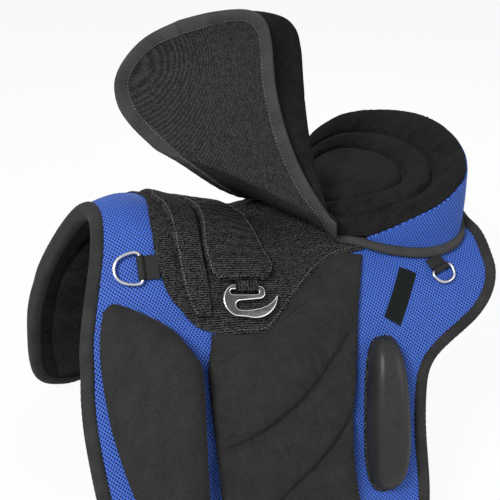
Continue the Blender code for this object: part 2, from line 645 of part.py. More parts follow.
# Seat: drawn closed and symmetrical, then parted along the fold
NEAR_LEAF = [(246, 76), (226, 66), (200, 57), (170, 52), (138, 54), (104, 60), (76, 70), (52, 78),
             (30, 78), (15, 67), (6, 42), (3, 0)]
FAR_LEAF = [(246, 76), (226, 68), (200, 60), (170, 58), (138, 62), (104, 76), (76, 88), (52, 92),
            (30, 84), (15, 66), (6, 38), (3, 0)]
LEAF_Z = [(3, 16), (47, 21), (105, 8), (160, -9), (210, -25), (248, -31)]
LEAF_DROP = [(3, 0.0042), (80, 0.0040), (150, 0.0036), (248, 0.0024)]
TOP_Z = [(40, 49), (62, 49), (100, 41), (126, 29), (150, 16), (188, 0), (220, -8), (248, -11),
         (290, -7), (330, -2)]


def seat_outline(edge, flare, rise):
    """Half outline of the seat foot and rim, front tip to rear, as y > 0."""
    rear = resample(FLANGE, 16)
    low = wrap(rear[:, 0], rear[:, 1], np.full(len(rear), 3.0)) * mirror
    leaf = resample(edge, 16)[1:][::-1]
    leaf = np.stack([leaf[:, 0], leaf[:, 1], under(leaf[:, 0], leaf[:, 1])], -1)
    tip = np.clip(leaf[:, 0] / 50, 0, 1)
    swell = np.sin(np.clip((246 - leaf[:, 0]) / 150, 0, 1) * np.pi / 2) * tip
    high = leaf.copy()
    high[:, 0] += 9.0 * (1 - tip)
    high[:, 1] *= 1 + flare * swell / 85
    high[:, 2] += 13.0 + rise * np.clip((230 - leaf[:, 0]) / 100, 0, 1) * tip
    return np.concatenate([leaf, low]), np.concatenate([high, resample(RIM, 16)])


def under(x, y):
    """Underside of the closed seat."""
    x, y = np.broadcast_arrays(np.asarray(x, float), np.asarray(y, float))
    free = field(LEAF_Z, x) - field(LEAF_DROP, x) * y**2
    low = ground(x, y, seat_low)
    w = np.clip((262 - x) / 70, 0, 1)
    w = w * w * (3 - 2 * w)
    return np.maximum(low, low * (1 - w) + free * w)


seat_low = LAYER_GAP * 2 + 1.5 + 1.0
mirror = np.array([1, -1, 1])
near_foot, near_rim = seat_outline(NEAR_LEAF, 40.0, 30.0)
far_foot, far_rim = seat_outline(FAR_LEAF, -6.0, 5.0)
foot = np.concatenate([near_foot * mirror, far_foot[-2:0:-1]])
rim = np.concatenate([near_rim * mirror, far_rim[-2:0:-1]])
count = len(foot)
hub_half = np.clip((near_foot[:, 0] + far_foot[:, 0]) / 2, SPINE_FRONT, SPINE_REAR)
hub_x = np.concatenate([hub_half, hub_half[-2:0:-1]])


def ring_at(r):
    """Plan points a fraction r of the way from the spine to the foot."""
    x = hub_x + (foot[:, 0] - hub_x) * r
    return x, foot[:, 1] * r


def shell_between(rings):
    """Closed body from stacked rings; first and last meet the spine line."""
    m = count
    points = np.concatenate(rings)
    faces = []
    for i in range(len(rings) - 1):
        outward = np.abs(rings[i + 1][:, 1]).sum() > np.abs(rings[i][:, 1]).sum()
        for j in range(m):
            k = (j + 1) % m
            a, b, c, d = i * m + j, i * m + k, (i + 1) * m + k, (i + 1) * m + j
            faces += [(a, b, c), (a, c, d)] if outward == (j < m // 2) else [(a, b, d), (b, c, d)]
    return points, faces


def foot_ring(inset, height):
    """Ring just inside the foot line at a height over the underside."""
    d = np.hypot(foot[:, 0] - hub_x, foot[:, 1])
    r = 1 - inset / np.maximum(d, 1.0)
    x = hub_x + (foot[:, 0] - hub_x) * r
    y = foot[:, 1] * r
    return np.stack([x, y, under(x, y) + height], -1)


def spine(height):
    x = hub_x
    return np.stack([x, np.zeros(count), under(x, np.zeros(count)) + height], -1)


def inner_ring(r, height):
    x, y = ring_at(r)
    return np.stack([x, y, under(x, y) + height], -1)


# Seat liner, a thin skin under the whole seat
inset = 6.5
liner_low = [spine(0), inner_ring(0.35, 0), inner_ring(0.7, 0), foot_ring(inset, 0)]
liner_high = [foot_ring(inset, SEAT_LINER), inner_ring(0.7, SEAT_LINER), inner_ring(0.35, SEAT_LINER),
              spine(SEAT_LINER)]
liner = shell_between(liner_low + liner_high)

# Seat binding, a flattened roll round the foot
binding_section = [(6.0, -0.1), (6.0, 7.0), (1.0, 8.0), (-2.6, 6.4), (-3.4, 3.4), (-2.2, 0.6), (1.5, -0.1)]
binding = tube(np.stack([foot_ring(a, h) for a, h in binding_section], 1))


def band_share(x):
    """1 where the side band covers the cushion, 0 on the seat front."""
    return np.clip((x - 272) / 14, 0, 1)


# Cushion: sides, lip, dished top with two sewn ovals
rear_share = band_share(foot[:, 0])
hub = np.stack([hub_x, np.zeros(count), field(TOP_Z, hub_x)], -1)
side_in = (BAND + 0.6) * rear_share
reach = np.hypot(rim[:, 0] - hub_x, rim[:, 1])


def toward(points, distance):
    share = distance / np.maximum(reach, 1.0)
    out = points.copy()
    out[:, 0] -= (rim[:, 0] - hub_x) * share
    out[:, 1] -= rim[:, 1] * share
    return out


def wall(share, inset):
    """Ring on the side wall, from the binding (0) to the rim (1)."""
    low = foot_ring(1.0 + inset, 9.1)
    high = toward(rim - [0, 0, 1.5], inset)
    high[:, 2] = np.maximum(high[:, 2], low[:, 2] + 1.5)
    return low + (high - low) * share


def top_ring(r, sink=0.0):
    """Ring of the seat top; the rim height fades in with r."""
    out = hub + (rim - hub) * r
    rise = np.abs(r) ** 2.2
    leaf = 1 - np.clip((foot[:, 0] - 235) / 30, 0, 1)
    rise = rise * (1 - leaf) + (r ** 2.6) * leaf
    out[:, 2] = hub[:, 2] + (rim[:, 2] - hub[:, 2]) * rise
    out[:, 2] -= sink * np.clip((out[:, 0] - 236) / 30, 0, 1)
    return out


foot_high = foot_ring(6.5, 7.0 + LAYER_GAP * 2)
leaf_side = np.clip((262 - foot[:, 0]) / 30, 0, 1)
walls = []
for share, swell in ((0.0, 0.0), (0.33, 2.2), (0.66, 2.6), (1.0, 0.0)):
    walls.append(wall(share, side_in - swell * leaf_side))
lip_top = toward(rim + [0, 0, 1.5], 5.0)
foot_in = foot_ring(6.5, SEAT_LINER + LAYER_GAP)
cushion_rings = [inner_ring(0.0, SEAT_LINER + LAYER_GAP), inner_ring(0.35, SEAT_LINER + LAYER_GAP),
                 inner_ring(0.7, SEAT_LINER + LAYER_GAP), foot_in, foot_high, *walls, lip_top,
                 top_ring(0.86), top_ring(0.755), top_ring(0.72, 5.0), top_ring(0.685), top_ring(0.56),
                 top_ring(0.475), top_ring(0.44, 5.0), top_ring(0.405), top_ring(0.2), top_ring(0.0)]
cushion = shell_between(cushion_rings)

# The fold plane stands upright through the hinge line
fold_a, fold_b = np.array(FOLD_A), np.array(FOLD_B)
fold_axis = (fold_b - fold_a) / np.linalg.norm(fold_b - fold_a)
fold_normal = np.cross(fold_axis, [0, 0, 1.0])
fold_normal /= np.linalg.norm(fold_normal)
if fold_normal[0] > 0:
    fold_normal = -fold_normal
rear_normal = np.array([fold_a[1] - FOLD_REAR[1], FOLD_REAR[0] - fold_a[0], 0.0])
rear_normal /= -np.linalg.norm(rear_normal)


def half_of(points, faces, way, shift):
    """Part of a closed body beyond a fold plane, capped, and the cap's outline."""
    bm = bmesh.new()
    verts = [bm.verts.new(p) for p in points]
    for f in faces:
        bm.faces.new([verts[i] for i in f])
    bmesh.ops.remove_doubles(bm, verts=bm.verts, dist=1e-3)
    bmesh.ops.dissolve_degenerate(bm, edges=bm.edges, dist=1e-3)
    bmesh.ops.recalc_face_normals(bm, faces=bm.faces)
    geometry = bm.verts[:] + bm.edges[:] + bm.faces[:]
    bmesh.ops.bisect_plane(bm, geom=geometry, plane_co=Vector(fold_a + way * shift), plane_no=Vector(way),
                           clear_inner=True, dist=1e-4)
    rim_edges = [e for e in bm.edges if e.is_boundary]
    cut = np.array([[v.co[:] for v in e.verts] for e in rim_edges])
    bmesh.ops.holes_fill(bm, edges=rim_edges, sides=0)
    bmesh.ops.recalc_face_normals(bm, faces=bm.faces)
    bmesh.ops.triangulate(bm, faces=[f for f in bm.faces if len(f.verts) > 4])
    bm.verts.index_update()
    out = np.array([v.co[:] for v in bm.verts]), [[v.index for v in f.verts] for f in bm.faces]
    bm.free()
    return out[0], out[1], cut


def lifted(points, share=1.0):
    """Swing the closed seat front up about the fold."""
    turn = np.array(Matrix.Rotation(math.radians(OPEN_ANGLE * share), 3, Vector(fold_axis)))
    return (np.asarray(points) - fold_a) @ turn.T + fold_a


def cut_lines(cut, way, stations):
    """Bottom and top of a cut outline at even stations from the near side."""
    along = np.array([-way[1], way[0], 0.0])
    along = along if along[1] > 0 else -along
    a = (cut - fold_a) @ along
    where = np.linspace(a.min() + 2.0, a.max() - 2.0, stations)
    base = fold_a + way * ((cut[0, 0] - fold_a) @ way)
    bottom, top = [], []
    for value in where:
        z = [p[2] + (q[2] - p[2]) * (value - s) / (e - s)
             for (p, q), (s, e) in zip(cut, a) if min(s, e) <= value <= max(s, e) and abs(s - e) > 1e-9]
        spot = base + along * value
        bottom.append([spot[0], spot[1], min(z)])
        top.append([spot[0], spot[1], max(z)])
    return np.array([bottom, top])


for piece, body, key in (("cushion", cushion, "suede_black"), ("liner", liner, "loop_black"),
                         ("binding", binding, "binding_black")):
    rear_points, rear_faces, _ = half_of(*body, rear_normal, FOLD_SLIT)
    add("seat_rear_" + piece, rear_points, rear_faces, key)
    front_points, front_faces, _ = half_of(*body, fold_normal, FOLD_SLIT)
    add("seat_front_" + piece, lifted(front_points), front_faces, key, origin=fold_a)

# Bending strip of the seat, between the rear's front face and the lifted front
strip_ends = []
for way in (rear_normal, fold_normal):
    _, _, cut = half_of(*cushion, way, FOLD_SLIT - 0.4)
    strip_ends.append(cut_lines(cut, way, 13))
strip = []
for share in np.linspace(0, 1, 8):
    straight = strip_ends[0] * (1 - share) + lifted(strip_ends[1]) * share
    arced = lifted(strip_ends[0] * (1 - share) + strip_ends[1] * share, share)
    strip.append(straight + (arced - straight) * FOLD_ARC)
strip = np.array(strip)
add("seat_fold", *slab(strip[:, 0], strip[:, 1]), "suede_black")

# Blue side band round the raised rear of the seat
keep = np.where(foot[:, 0] > 288)[0]
columns = []
for share in (0.0, 0.33, 0.66, 1.0):
    columns.append((wall(share, BAND)[keep], wall(share, 0.0)[keep]))
lower = np.array([c[0] for c in columns])
upper = np.array([c[1] for c in columns])
add("seat_side_band", *slab(lower, upper, wrapped=True), "mesh_blue")

print("fold axis", np.round(fold_axis, 4), "fold point world", np.round(world([fold_a])[0], 5))
print("front ring axis", np.round(front_frame[1][:, 0], 4), np.round(world([front_frame[0]])[0], 5))
print("rear ring axis", np.round(rear_frame[1][:, 0], 4), np.round(world([rear_frame[0]])[0], 5))
print("hook axis", np.round(hook_frame[1][:, 0], 4), np.round(world([hook_frame[0]])[0], 5))
print("triangles", sum(sum(len(p.vertices) - 2 for p in o.data.polygons) for o in SADDLE.objects))
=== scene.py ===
"""Looks of the trail saddle: soft pieces, stitching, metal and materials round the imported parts."""
import bpy
import bmesh
import math
import numpy as np
from contextlib import contextmanager
from mathutils import Matrix, Vector, noise


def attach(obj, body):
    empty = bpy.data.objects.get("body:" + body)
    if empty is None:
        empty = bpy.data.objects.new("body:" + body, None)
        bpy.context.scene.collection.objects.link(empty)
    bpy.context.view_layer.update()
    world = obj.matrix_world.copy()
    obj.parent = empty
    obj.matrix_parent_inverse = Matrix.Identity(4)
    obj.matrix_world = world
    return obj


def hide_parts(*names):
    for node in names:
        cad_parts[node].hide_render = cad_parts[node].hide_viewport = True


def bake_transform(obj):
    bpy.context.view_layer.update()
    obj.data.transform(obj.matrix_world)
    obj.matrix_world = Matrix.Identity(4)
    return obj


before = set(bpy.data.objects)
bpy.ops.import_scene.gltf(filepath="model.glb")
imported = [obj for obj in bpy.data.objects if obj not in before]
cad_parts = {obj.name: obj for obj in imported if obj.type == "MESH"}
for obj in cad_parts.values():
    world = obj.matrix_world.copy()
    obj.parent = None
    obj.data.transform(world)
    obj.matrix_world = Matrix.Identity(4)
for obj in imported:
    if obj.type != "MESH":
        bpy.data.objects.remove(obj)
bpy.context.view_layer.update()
SCENE = bpy.context.scene
ROOT = "saddle"


def linked(name, data):
    obj = bpy.data.objects.new(name, data)
    SCENE.collection.objects.link(obj)
    return obj


# Camera, at the photograph's angle: the eye's place is counted from the top of the front arch
VIEW_TURN, VIEW_TILT = math.radians(-25), math.radians(25)
ARCH_TOP = Vector((-0.1916, 0, 0.356))
EYE_RIGHT, EYE_DOWN, EYE_BACK = 0.173, 0.042, 0.875

cam = linked("camera", bpy.data.cameras.new("camera"))
cam.data.lens = 60
cam.data.sensor_width = 36
cam.data.clip_start = 0.01
right = Vector((math.cos(VIEW_TURN), math.sin(VIEW_TURN), 0))
back = Vector((math.sin(VIEW_TURN) * math.cos(VIEW_TILT), -math.cos(VIEW_TURN) * math.cos(VIEW_TILT),
               math.sin(VIEW_TILT)))
up = back.cross(right)
eye = ARCH_TOP + right * EYE_RIGHT - up * EYE_DOWN + back * EYE_BACK
cam.matrix_world = Matrix(((right.x, up.x, back.x, eye.x), (right.y, up.y, back.y, eye.y),
                           (right.z, up.z, back.z, eye.z), (0, 0, 0, 1)))
SCENE.camera = cam

# The part's own tables and sizes, in its pattern millimetres
FLAP_DROP = 356.0
ORIGIN_X = 191.6
LAYER_GAP = 0.4
COVER, FOAM, LINING = 2.5, 8.0, 3.0
FOOT_RISE = 8.3
INNER_SET = 1.2
WEB, WEB_REAR, WIRE, STRAP = 25.0, 18.0, 2.0, 2.6
FOLD_A = (248.0, -68.0, -23.0)
FOLD_B = (123.0, 74.0, 37.0)
FOLD_REAR = (222.0, 62.0)
OPEN_ANGLE, FOLD_SLIT, FOLD_ARC = 94.0, 6.0, 0.35
RIDGE = [(0, 0), (47, 8), (105, -6), (210, -36), (295, -40), (430, -24)]
SPREAD = [(0, 38), (63, 50), (126, 72), (252, 110), (357, 142), (430, 155)]
SLOPE = [(0, 66), (126, 70), (252, 75), (357, 78), (430, 78)]
TURN = [(0, 1.5), (126, 1.7), (252, 2.1), (430, 2.3)]
SAG = [(0, 0), (45, 1), (85, 5), (115, 10), (150, 13), (185, 14), (215, 11), (240, 4), (258, 0), (430, 0)]
SAG_WIDTH = 90.0
FRONT_EDGE = [(0, 8), (18, 7), (54, -1), (88, -13), (121, -25), (147, -33), (170, -37), (198, -42),
              (232, -45), (292, -45), (350, -42), (390, -35), (416, -22), (432, -2), (440, 18)]
REAR_EDGE = [(0, 420), (40, 419), (80, 416), (108, 413), (130, 417), (159, 415), (181, 411), (201, 397),
             (215, 375), (225, 345), (234, 324), (249, 309), (273, 300), (312, 293), (389, 287),
             (412, 280), (430, 264), (440, 246)]
COLUMN_LINES = [0, 34, 66, 96, 128, 166, 208, 250, 290, 335, 380, 425]
KNEE = dict(top=[(-12, 120), (-2, 116), (10, 124), (30, 143), (50, 164), (61, 183)],
            bottom=[(6, 376), (10, 388), (20, 394), (30, 390), (37, 378)],
            left=[(-12, 120), (-20, 142), (-25, 170), (-27, 206), (-26, 245), (-18, 304), (-6, 350),
                  (6, 376)],
            right=[(61, 183), (63, 200), (60, 230), (52, 277), (44, 330), (37, 378)])
LEG = dict(top=[(88, 173), (117, 176), (144, 175), (160, 163), (176, 147), (200, 126), (219, 112),
                (239, 103), (258, 100), (280, 108)],
           bottom=[(72, 384), (90, 396), (140, 402), (190, 397), (212, 384)],
           left=[(88, 173), (83, 204), (79, 239), (75, 290), (71, 341), (72, 384)],
           right=[(280, 108), (266, 135), (253, 165), (244, 195), (232, 235), (220, 276), (213, 318),
                  (212, 384)])
PANEL = dict(top=[(45, 60), (150, 52), (260, 52), (398, 60)],
             bottom=[(-14, 398), (60, 408), (180, 408), (262, 398)],
             left=[(45, 60), (12, 110), (-14, 160), (-24, 235), (-26, 300), (-14, 398)],
             right=[(398, 60), (400, 120), (388, 175), (340, 210), (292, 250), (276, 312), (262, 398)])
CHANNELS = [[(75, 291), (95, 287), (120, 277), (148, 261), (185, 234), (214, 207), (237, 186)],
            [(97, 398), (110, 368), (126, 347), (151, 328), (181, 306), (205, 284), (218, 272)],
            [(86, 206), (121, 189), (158, 165), (190, 146), (222, 136), (252, 134)]]
GROOVES = (0.74, 0.50)
LOOP_FRONT = [(0, 66), (20, 62), (40, 57), (60, 54), (82, 51), (119, 52), (141, 60), (155, 75), (170, 87)]
LOOP_FOOT = [(87, 170), (117, 173), (144, 172), (160, 160), (176, 144), (200, 123), (219, 109),
             (239, 100), (258, 97), (284, 100)]
POMMEL_FRONT = [(0, 70), (21, 76), (54, 75), (84, 72), (116, 70), (141, 72), (154, 76)]
POMMEL_REAR = [(0, 113), (32, 109), (64, 102), (84, 99), (105, 97), (138, 94), (154, 92)]
STRAP_FRONT = [(0, 122), (32, 115), (64, 106), (90, 101), (104, 100), (112, 102), (118, 107)]
STRAP_REAR = [(0, 181), (26, 175), (62, 170), (90, 169), (104, 168), (112, 162), (118, 148)]
FLANGE = [(246, 76), (278, 94), (303, 113), (329, 128), (351, 137), (371, 140), (387, 137), (398, 128),
          (406, 110), (411, 80), (413, 40), (414, 0)]
RIM = [(246, 80, -35), (268, 90, -42), (290, 103, -42), (305, 115, -33), (328, 133, -15), (350, 143, -1),
       (370, 142, 11), (389, 133, 22), (406, 111, 31), (418, 88, 36.5), (426, 64, 41), (432, 32, 45),
       (434, 0, 47)]
LABEL = [(315, 135), (330, 149), (294, 196), (280, 180)]
NEAR_LEAF = [(246, 76), (226, 71), (200, 65), (170, 62), (138, 63), (104, 68), (76, 76), (52, 84), (32, 86),
             (19, 76), (10, 44), (4, 0)]
FAR_LEAF = [(246, 76), (226, 68), (200, 60), (170, 58), (138, 62), (104, 76), (76, 86), (52, 89), (30, 82),
            (15, 65), (5, 38), (4, 0)]
LEAF_Z = [(3, 16), (47, 21), (105, 8), (160, -9), (210, -25), (248, -31)]
LEAF_DROP = [(3, 0.0042), (80, 0.0040), (150, 0.0036), (248, 0.0024)]
TOP_Z = [(40, 49), (62, 49), (100, 41), (126, 29), (150, 16), (188, 0), (220, -8), (248, -11), (290, -7),
         (330, -2)]
THIGH_CENTRE, THIGH_AXES, THIGH_LEAN, THIGH_LOFT = (258.0, 281.0), (27.0, 81.0), 8.0, 27.0
ROLL_LOFT, LEG_LOFT, PANEL_LOFT = 33.0, 11.0, 15.0
SEAT_LINER, BAND = 2.0, 3.0

COVER_LOW = -COVER
FOAM_HIGH = COVER_LOW - LAYER_GAP
FOAM_LOW = FOAM_HIGH - FOAM
LINING_HIGH = FOAM_LOW - LAYER_GAP
LINING_LOW = LINING_HIGH - LINING


# Curves and the horse-back surface
def field(table, x):
    """Smooth curve through (x, value) pairs, straight beyond the ends."""
    xs = np.array([p[0] for p in table], float)
    ys = np.array([p[1] for p in table], float)
    m = np.empty_like(ys)
    m[0] = (ys[1] - ys[0]) / (xs[1] - xs[0])
    m[-1] = (ys[-1] - ys[-2]) / (xs[-1] - xs[-2])
    m[1:-1] = (ys[2:] - ys[:-2]) / (xs[2:] - xs[:-2])
    x = np.asarray(x, float)
    i = np.clip(np.searchsorted(xs, x, side="right") - 1, 0, len(xs) - 2)
    h = xs[i + 1] - xs[i]
    t = np.clip((x - xs[i]) / h, 0, 1)
    value = ((2 * t**3 - 3 * t**2 + 1) * ys[i] + (t**3 - 2 * t**2 + t) * h * m[i]
             + (-2 * t**3 + 3 * t**2) * ys[i + 1] + (t**3 - t**2) * h * m[i + 1])
    value = value + np.where(x < xs[0], m[0] * (x - xs[0]), 0)
    return value + np.where(x > xs[-1], m[-1] * (x - xs[-1]), 0)


def resample(points, t):
    """Points at shares t (or that many even shares) of a smooth curve's length."""
    pts = np.array(points, float)
    t = np.linspace(0, 1, t) if np.isscalar(t) else np.asarray(t, float)
    step = np.sqrt((np.diff(pts, axis=0) ** 2).sum(1))
    knots = np.concatenate([[0], np.cumsum(step)])
    return np.stack([field(list(zip(knots, pts[:, k])), t * knots[-1]) for k in range(pts.shape[1])], -1)


def smooth(t):
    t = np.clip(t, 0, 1)
    return t * t * (3 - 2 * t)


def lay(x, s):
    x, s = np.broadcast_arrays(np.asarray(x, float), np.asarray(s, float))
    reach = np.abs(s)
    spread, slope, turn = field(SPREAD, x), np.radians(field(SLOPE, x)), field(TURN, x)
    y = np.zeros_like(reach)
    drop = np.zeros_like(reach)
    for k in range(64):
        q = (reach * (k + 0.5) / 64 / spread) ** turn
        lean = slope * q / (1 + q)
        y = y + np.cos(lean) * reach / 64
        drop = drop + np.sin(lean) * reach / 64
    sag = field(SAG, x) * np.exp(-(s / SAG_WIDTH) ** 2)
    return np.stack([x, -np.sign(s) * y, field(RIDGE, x) - drop - sag], -1)


def normal(x, s):
    tx = lay(np.asarray(x) + 1.0, s) - lay(np.asarray(x) - 1.0, s)
    ts = lay(x, np.asarray(s) + 1.0) - lay(x, np.asarray(s) - 1.0)
    n = np.cross(tx, -ts)
    return n / np.linalg.norm(n, axis=-1, keepdims=True)


def wrap(x, s, d):
    return lay(x, s) + normal(x, s) * np.asarray(d, float)[..., None]


def coons(top, bottom, left, right, U, V):
    t, b = resample(top, U), resample(bottom, U)
    l, r = resample(left, V), resample(right, V)
    u, v = U[None, :, None], V[:, None, None]
    edges = (1 - v) * t[None] + v * b[None] + (1 - u) * l[:, None] + u * r[:, None]
    corners = (1 - u) * (1 - v) * t[0] + u * (1 - v) * t[-1] + (1 - u) * v * b[0] + u * v * b[-1]
    return edges - corners


def across(front, rear, rows, U):
    s = np.array(rows, float)
    s = np.concatenate([-s[:0:-1], s])
    f, r = field(front, np.abs(s)), field(rear, np.abs(s))
    x = f[:, None] + (r - f)[:, None] * U[None]
    return np.stack([x, np.broadcast_to(s[:, None], x.shape)], -1)


def shares(count, edge=0.012):
    """Even shares with extra lines near both ends, so that edges round off."""
    inner = np.linspace(0, 1, count)[1:-1]
    inner = inner[(inner > edge * 3) & (inner < 1 - edge * 3)]
    return np.concatenate([[0, edge * 0.35, edge, edge * 2.2], inner,
                           [1 - edge * 2.2, 1 - edge, 1 - edge * 0.35, 1]])


def bottom_line(x):
    s = np.linspace(380, 490, 56)
    flat = np.ravel(x)
    z = lay(flat[:, None], s[None])[..., 2]
    return np.array([np.interp(FLAP_DROP - FOOT_RISE, -row, s) for row in z]).reshape(np.shape(x))


def base_grid(rows, fine, inset=0.0):
    count = 11 * fine + 1
    grid = across(FRONT_EDGE, REAR_EDGE, rows, np.linspace(0, 1, count))
    w = smooth((np.abs(grid[..., 1]) - 150) / 110)
    lines = np.interp(np.linspace(0, 11, count), np.arange(12), COLUMN_LINES)[None]
    step = 4 / fine * np.arange(count)
    lines = np.clip(lines, grid[:, :1, 0] + step, grid[:, -1:, 0] - step[::-1])
    grid[:, 1:-1, 0] = (lines * (1 - w) + grid[..., 0] * w)[:, 1:-1]
    grid[:, 0, 0] += inset
    grid[:, -1, 0] -= inset
    x, s = grid[..., 0], grid[..., 1]
    t = np.clip((np.abs(s) - 370.0) / (rows[-1] - 370.0), 0, 1)
    grid[..., 1] = np.sign(s) * (np.abs(s) + t * (bottom_line(x) - rows[-1]))
    return grid


def place(x, s, d, turn=0.0):
    """Flat local frame on the surface: columns are across, up and outward."""
    o = wrap(np.array([x]), np.array([s]), np.array([d]))[0]
    n = normal(np.array([x]), np.array([s]))[0]
    tx = lay(x + 1.0, s) - lay(x - 1.0, s)
    tx = tx - n * (tx @ n)
    tx /= np.linalg.norm(tx)
    upward = np.cross(n, tx)
    c, s = math.cos(math.radians(turn)), math.sin(math.radians(turn))
    return o, np.stack([tx * c + upward * s, upward * c - tx * s, n], -1)


# Node helpers
def put(tree, kind, inputs=(), **settings):
    """A node; inputs maps socket names or numbers to values or sockets."""
    made = tree.nodes.new(kind)
    for key, value in settings.items():
        setattr(made, key, value)
    for key, value in dict(inputs).items():
        if isinstance(value, bpy.types.NodeSocket):
            tree.links.new(value, made.inputs[key])
        else:
            made.inputs[key].default_value = value
    return made


def tree_of(values):
    """The node tree that holds the first socket among some values."""
    return next(v.id_data for v in values if isinstance(v, bpy.types.NodeSocket))


def maths(operation, *values, clamp=False):
    return put(tree_of(values), "ShaderNodeMath", dict(enumerate(values)),
               operation=operation, use_clamp=clamp).outputs[0]


def add(*values, clamp=False):
    return maths("ADD", *values, clamp=clamp)


def times(*values):
    return maths("MULTIPLY", *values)


def wave(value):
    return maths("SINE", value)


def vector(operation, *values):
    made = put(tree_of(values), "ShaderNodeVectorMath", dict(enumerate(values)), operation=operation)
    return made.outputs["Value" if operation == "LENGTH" else "Vector"]


def scaled(where, factor):
    return put(where.id_data, "ShaderNodeVectorMath", {0: where, "Scale": factor},
               operation="SCALE").outputs[0]


def parts_of(where):
    return put(where.id_data, "ShaderNodeSeparateXYZ", {0: where}).outputs


def spread_of(value, low, high, to_low=0.0, to_high=1.0):
    return put(value.id_data, "ShaderNodeMapRange", {0: value, 1: low, 2: high, 3: to_low, 4: to_high},
               interpolation_type="SMOOTHSTEP").outputs[0]


def grain(where, scale, detail=2.0, rough=0.55, stretch=None):
    """Noise; stretch scales the vector first, by its own number along each axis."""
    if stretch is not None:
        where = vector("MULTIPLY", where, stretch)
    return put(where.id_data, "ShaderNodeTexNoise",
               {"Vector": where, "Scale": scale, "Detail": detail, "Roughness": rough}).outputs[0]


def blend_colours(share, *ends):
    low, high = (e if isinstance(e, bpy.types.NodeSocket) else (*e, 1.0) for e in ends)
    return put(share.id_data, "ShaderNodeMix", {0: share, 6: low, 7: high}, data_type="RGBA").outputs[2]


PLAIN = (("Vector", "NodeSocketVector", None),)
TINTS = PLAIN + (("Low", "NodeSocketColor", (0, 0, 0, 1)), ("High", "NodeSocketColor", (1, 1, 1, 1)),
                 ("Scale", "NodeSocketFloat", 1.0))


def new_group(name, inputs=TINTS):
    """A shader node group that puts out a colour, a roughness and a height."""
    tree = bpy.data.node_groups.new(name, "ShaderNodeTree")
    for label, kind, value in inputs:
        socket = tree.interface.new_socket(label, in_out="INPUT", socket_type=kind)
        if value is not None:
            socket.default_value = value
    for label, kind in (("Color", "Color"), ("Roughness", "Float"), ("Height", "Float")):
        tree.interface.new_socket(label, in_out="OUTPUT", socket_type="NodeSocket" + kind)
    return tree, tree.nodes.new("NodeGroupInput").outputs, tree.nodes.new("NodeGroupOutput").inputs


def shown(tree, made, *values):
    for k, value in enumerate(values):
        tree.links.new(value, made[k])
    return tree


HALVES = (0.5, 0.5, 0.5)
HOLE_ALONG, HOLE_ACROSS = 0.0036, 0.0049
HOLE_WANDER = 0.0011


def spacer_mesh():
    """Knitted mesh with staggered holes; the vector is pattern metres."""
    tree, given, made = new_group("spacer_mesh", PLAIN)
    at = given["Vector"]
    wander = put(tree, "ShaderNodeTexNoise", {"Vector": at, "Scale": 45.0, "Detail": 1.0}).outputs["Color"]
    where = vector("ADD", at, scaled(vector("SUBTRACT", wander, HALVES), HOLE_WANDER))
    cell = vector("MULTIPLY", where, (1 / HOLE_ALONG, 1 / HOLE_ACROSS, 0))
    gaps = []
    for offset in ((0.0, 0.0, 0.0), (0.5, 0.5, 0.0)):
        local = vector("SUBTRACT", vector("FRACTION", vector("ADD", cell, offset)), HALVES)
        gaps.append(vector("LENGTH", vector("MULTIPLY", local, (1.0, 1.25, 0.0))))
    hole = spread_of(maths("MINIMUM", *gaps), 0.21, 0.33, 1.0, 0.0)
    fibre = grain(where, 1.0, stretch=(2600, 900, 1))
    patchy = grain(at, 22.0, 3.0)
    thread = blend_colours(fibre, (0.030, 0.095, 0.41), (0.072, 0.185, 0.74))
    thread = blend_colours(spread_of(patchy, 0.35, 0.75, 0.0, 0.35), thread, (0.048, 0.130, 0.56))
    return shown(tree, made, blend_colours(hole, thread, (0.002, 0.006, 0.040)),
                 spread_of(fibre, 0.2, 0.8, 0.55, 0.8), add(times(hole, -1.0), times(fibre, 0.15)))


def nap():
    """Short brushed pile: fine fibre, larger strokes, a little mottling."""
    tree, given, made = new_group("nap")
    where = scaled(given["Vector"], given["Scale"])
    fine = grain(where, 1400.0, 3.0, 0.7)
    clump = grain(where, 260.0, 3.0, 0.6)
    stroke = grain(where, 1.0, 4.0, 0.6, stretch=(30, 55, 18))
    mixed = add(add(times(fine, 0.42), times(clump, 0.33)), times(stroke, 0.35))
    return shown(tree, made, blend_colours(spread_of(mixed, 0.42, 0.68), given["Low"], given["High"]),
                 spread_of(stroke, 0.3, 0.7, 0.74, 0.92), add(times(fine, 0.6), clump))


def looped_pile():
    """Looped pile: pale flecks over black, in faint rows."""
    tree, given, made = new_group("pile")
    where = scaled(given["Vector"], given["Scale"])
    flecks = grain(where, 640.0, 2.0, 0.65)
    clump = grain(where, 150.0, 2.0)
    rows_of = wave(add(times(parts_of(where)[1], 2500.0), times(clump, 3.5)))
    mixed = add(add(times(flecks, 0.8), times(clump, 0.2)), times(rows_of, 0.06))
    return shown(tree, made, blend_colours(spread_of(mixed, 0.42, 0.64), given["Low"], given["High"]),
                 spread_of(flecks, 0.3, 0.7, 0.95, 0.75), add(flecks, times(rows_of, 0.25)))


def rib():
    """Ribbed tape: cross ribs along u, knit wales along v, in metres."""
    tree, given, made = new_group("rib")
    at = given["Vector"]
    along, over = parts_of(at)[:2]
    ribs = add(times(wave(times(along, given["Scale"])), 0.5), 0.5)
    wales = wave(times(over, 6000.0))
    fuzz = grain(at, 1.0, 3.0, 0.7, stretch=(1500, 1500, 1))
    blotch = grain(at, 1.0, stretch=(38, 38, 1))
    share = add(times(ribs, 0.40), times(fuzz, 0.55))
    share = add(share, times(maths("SUBTRACT", blotch, 0.5), 0.8), clamp=True)
    return shown(tree, made, blend_colours(share, given["Low"], given["High"]),
                 spread_of(fuzz, 0.3, 0.7, 0.66, 0.86), add(add(ribs, times(wales, 0.15)), times(fuzz, 0.7)))


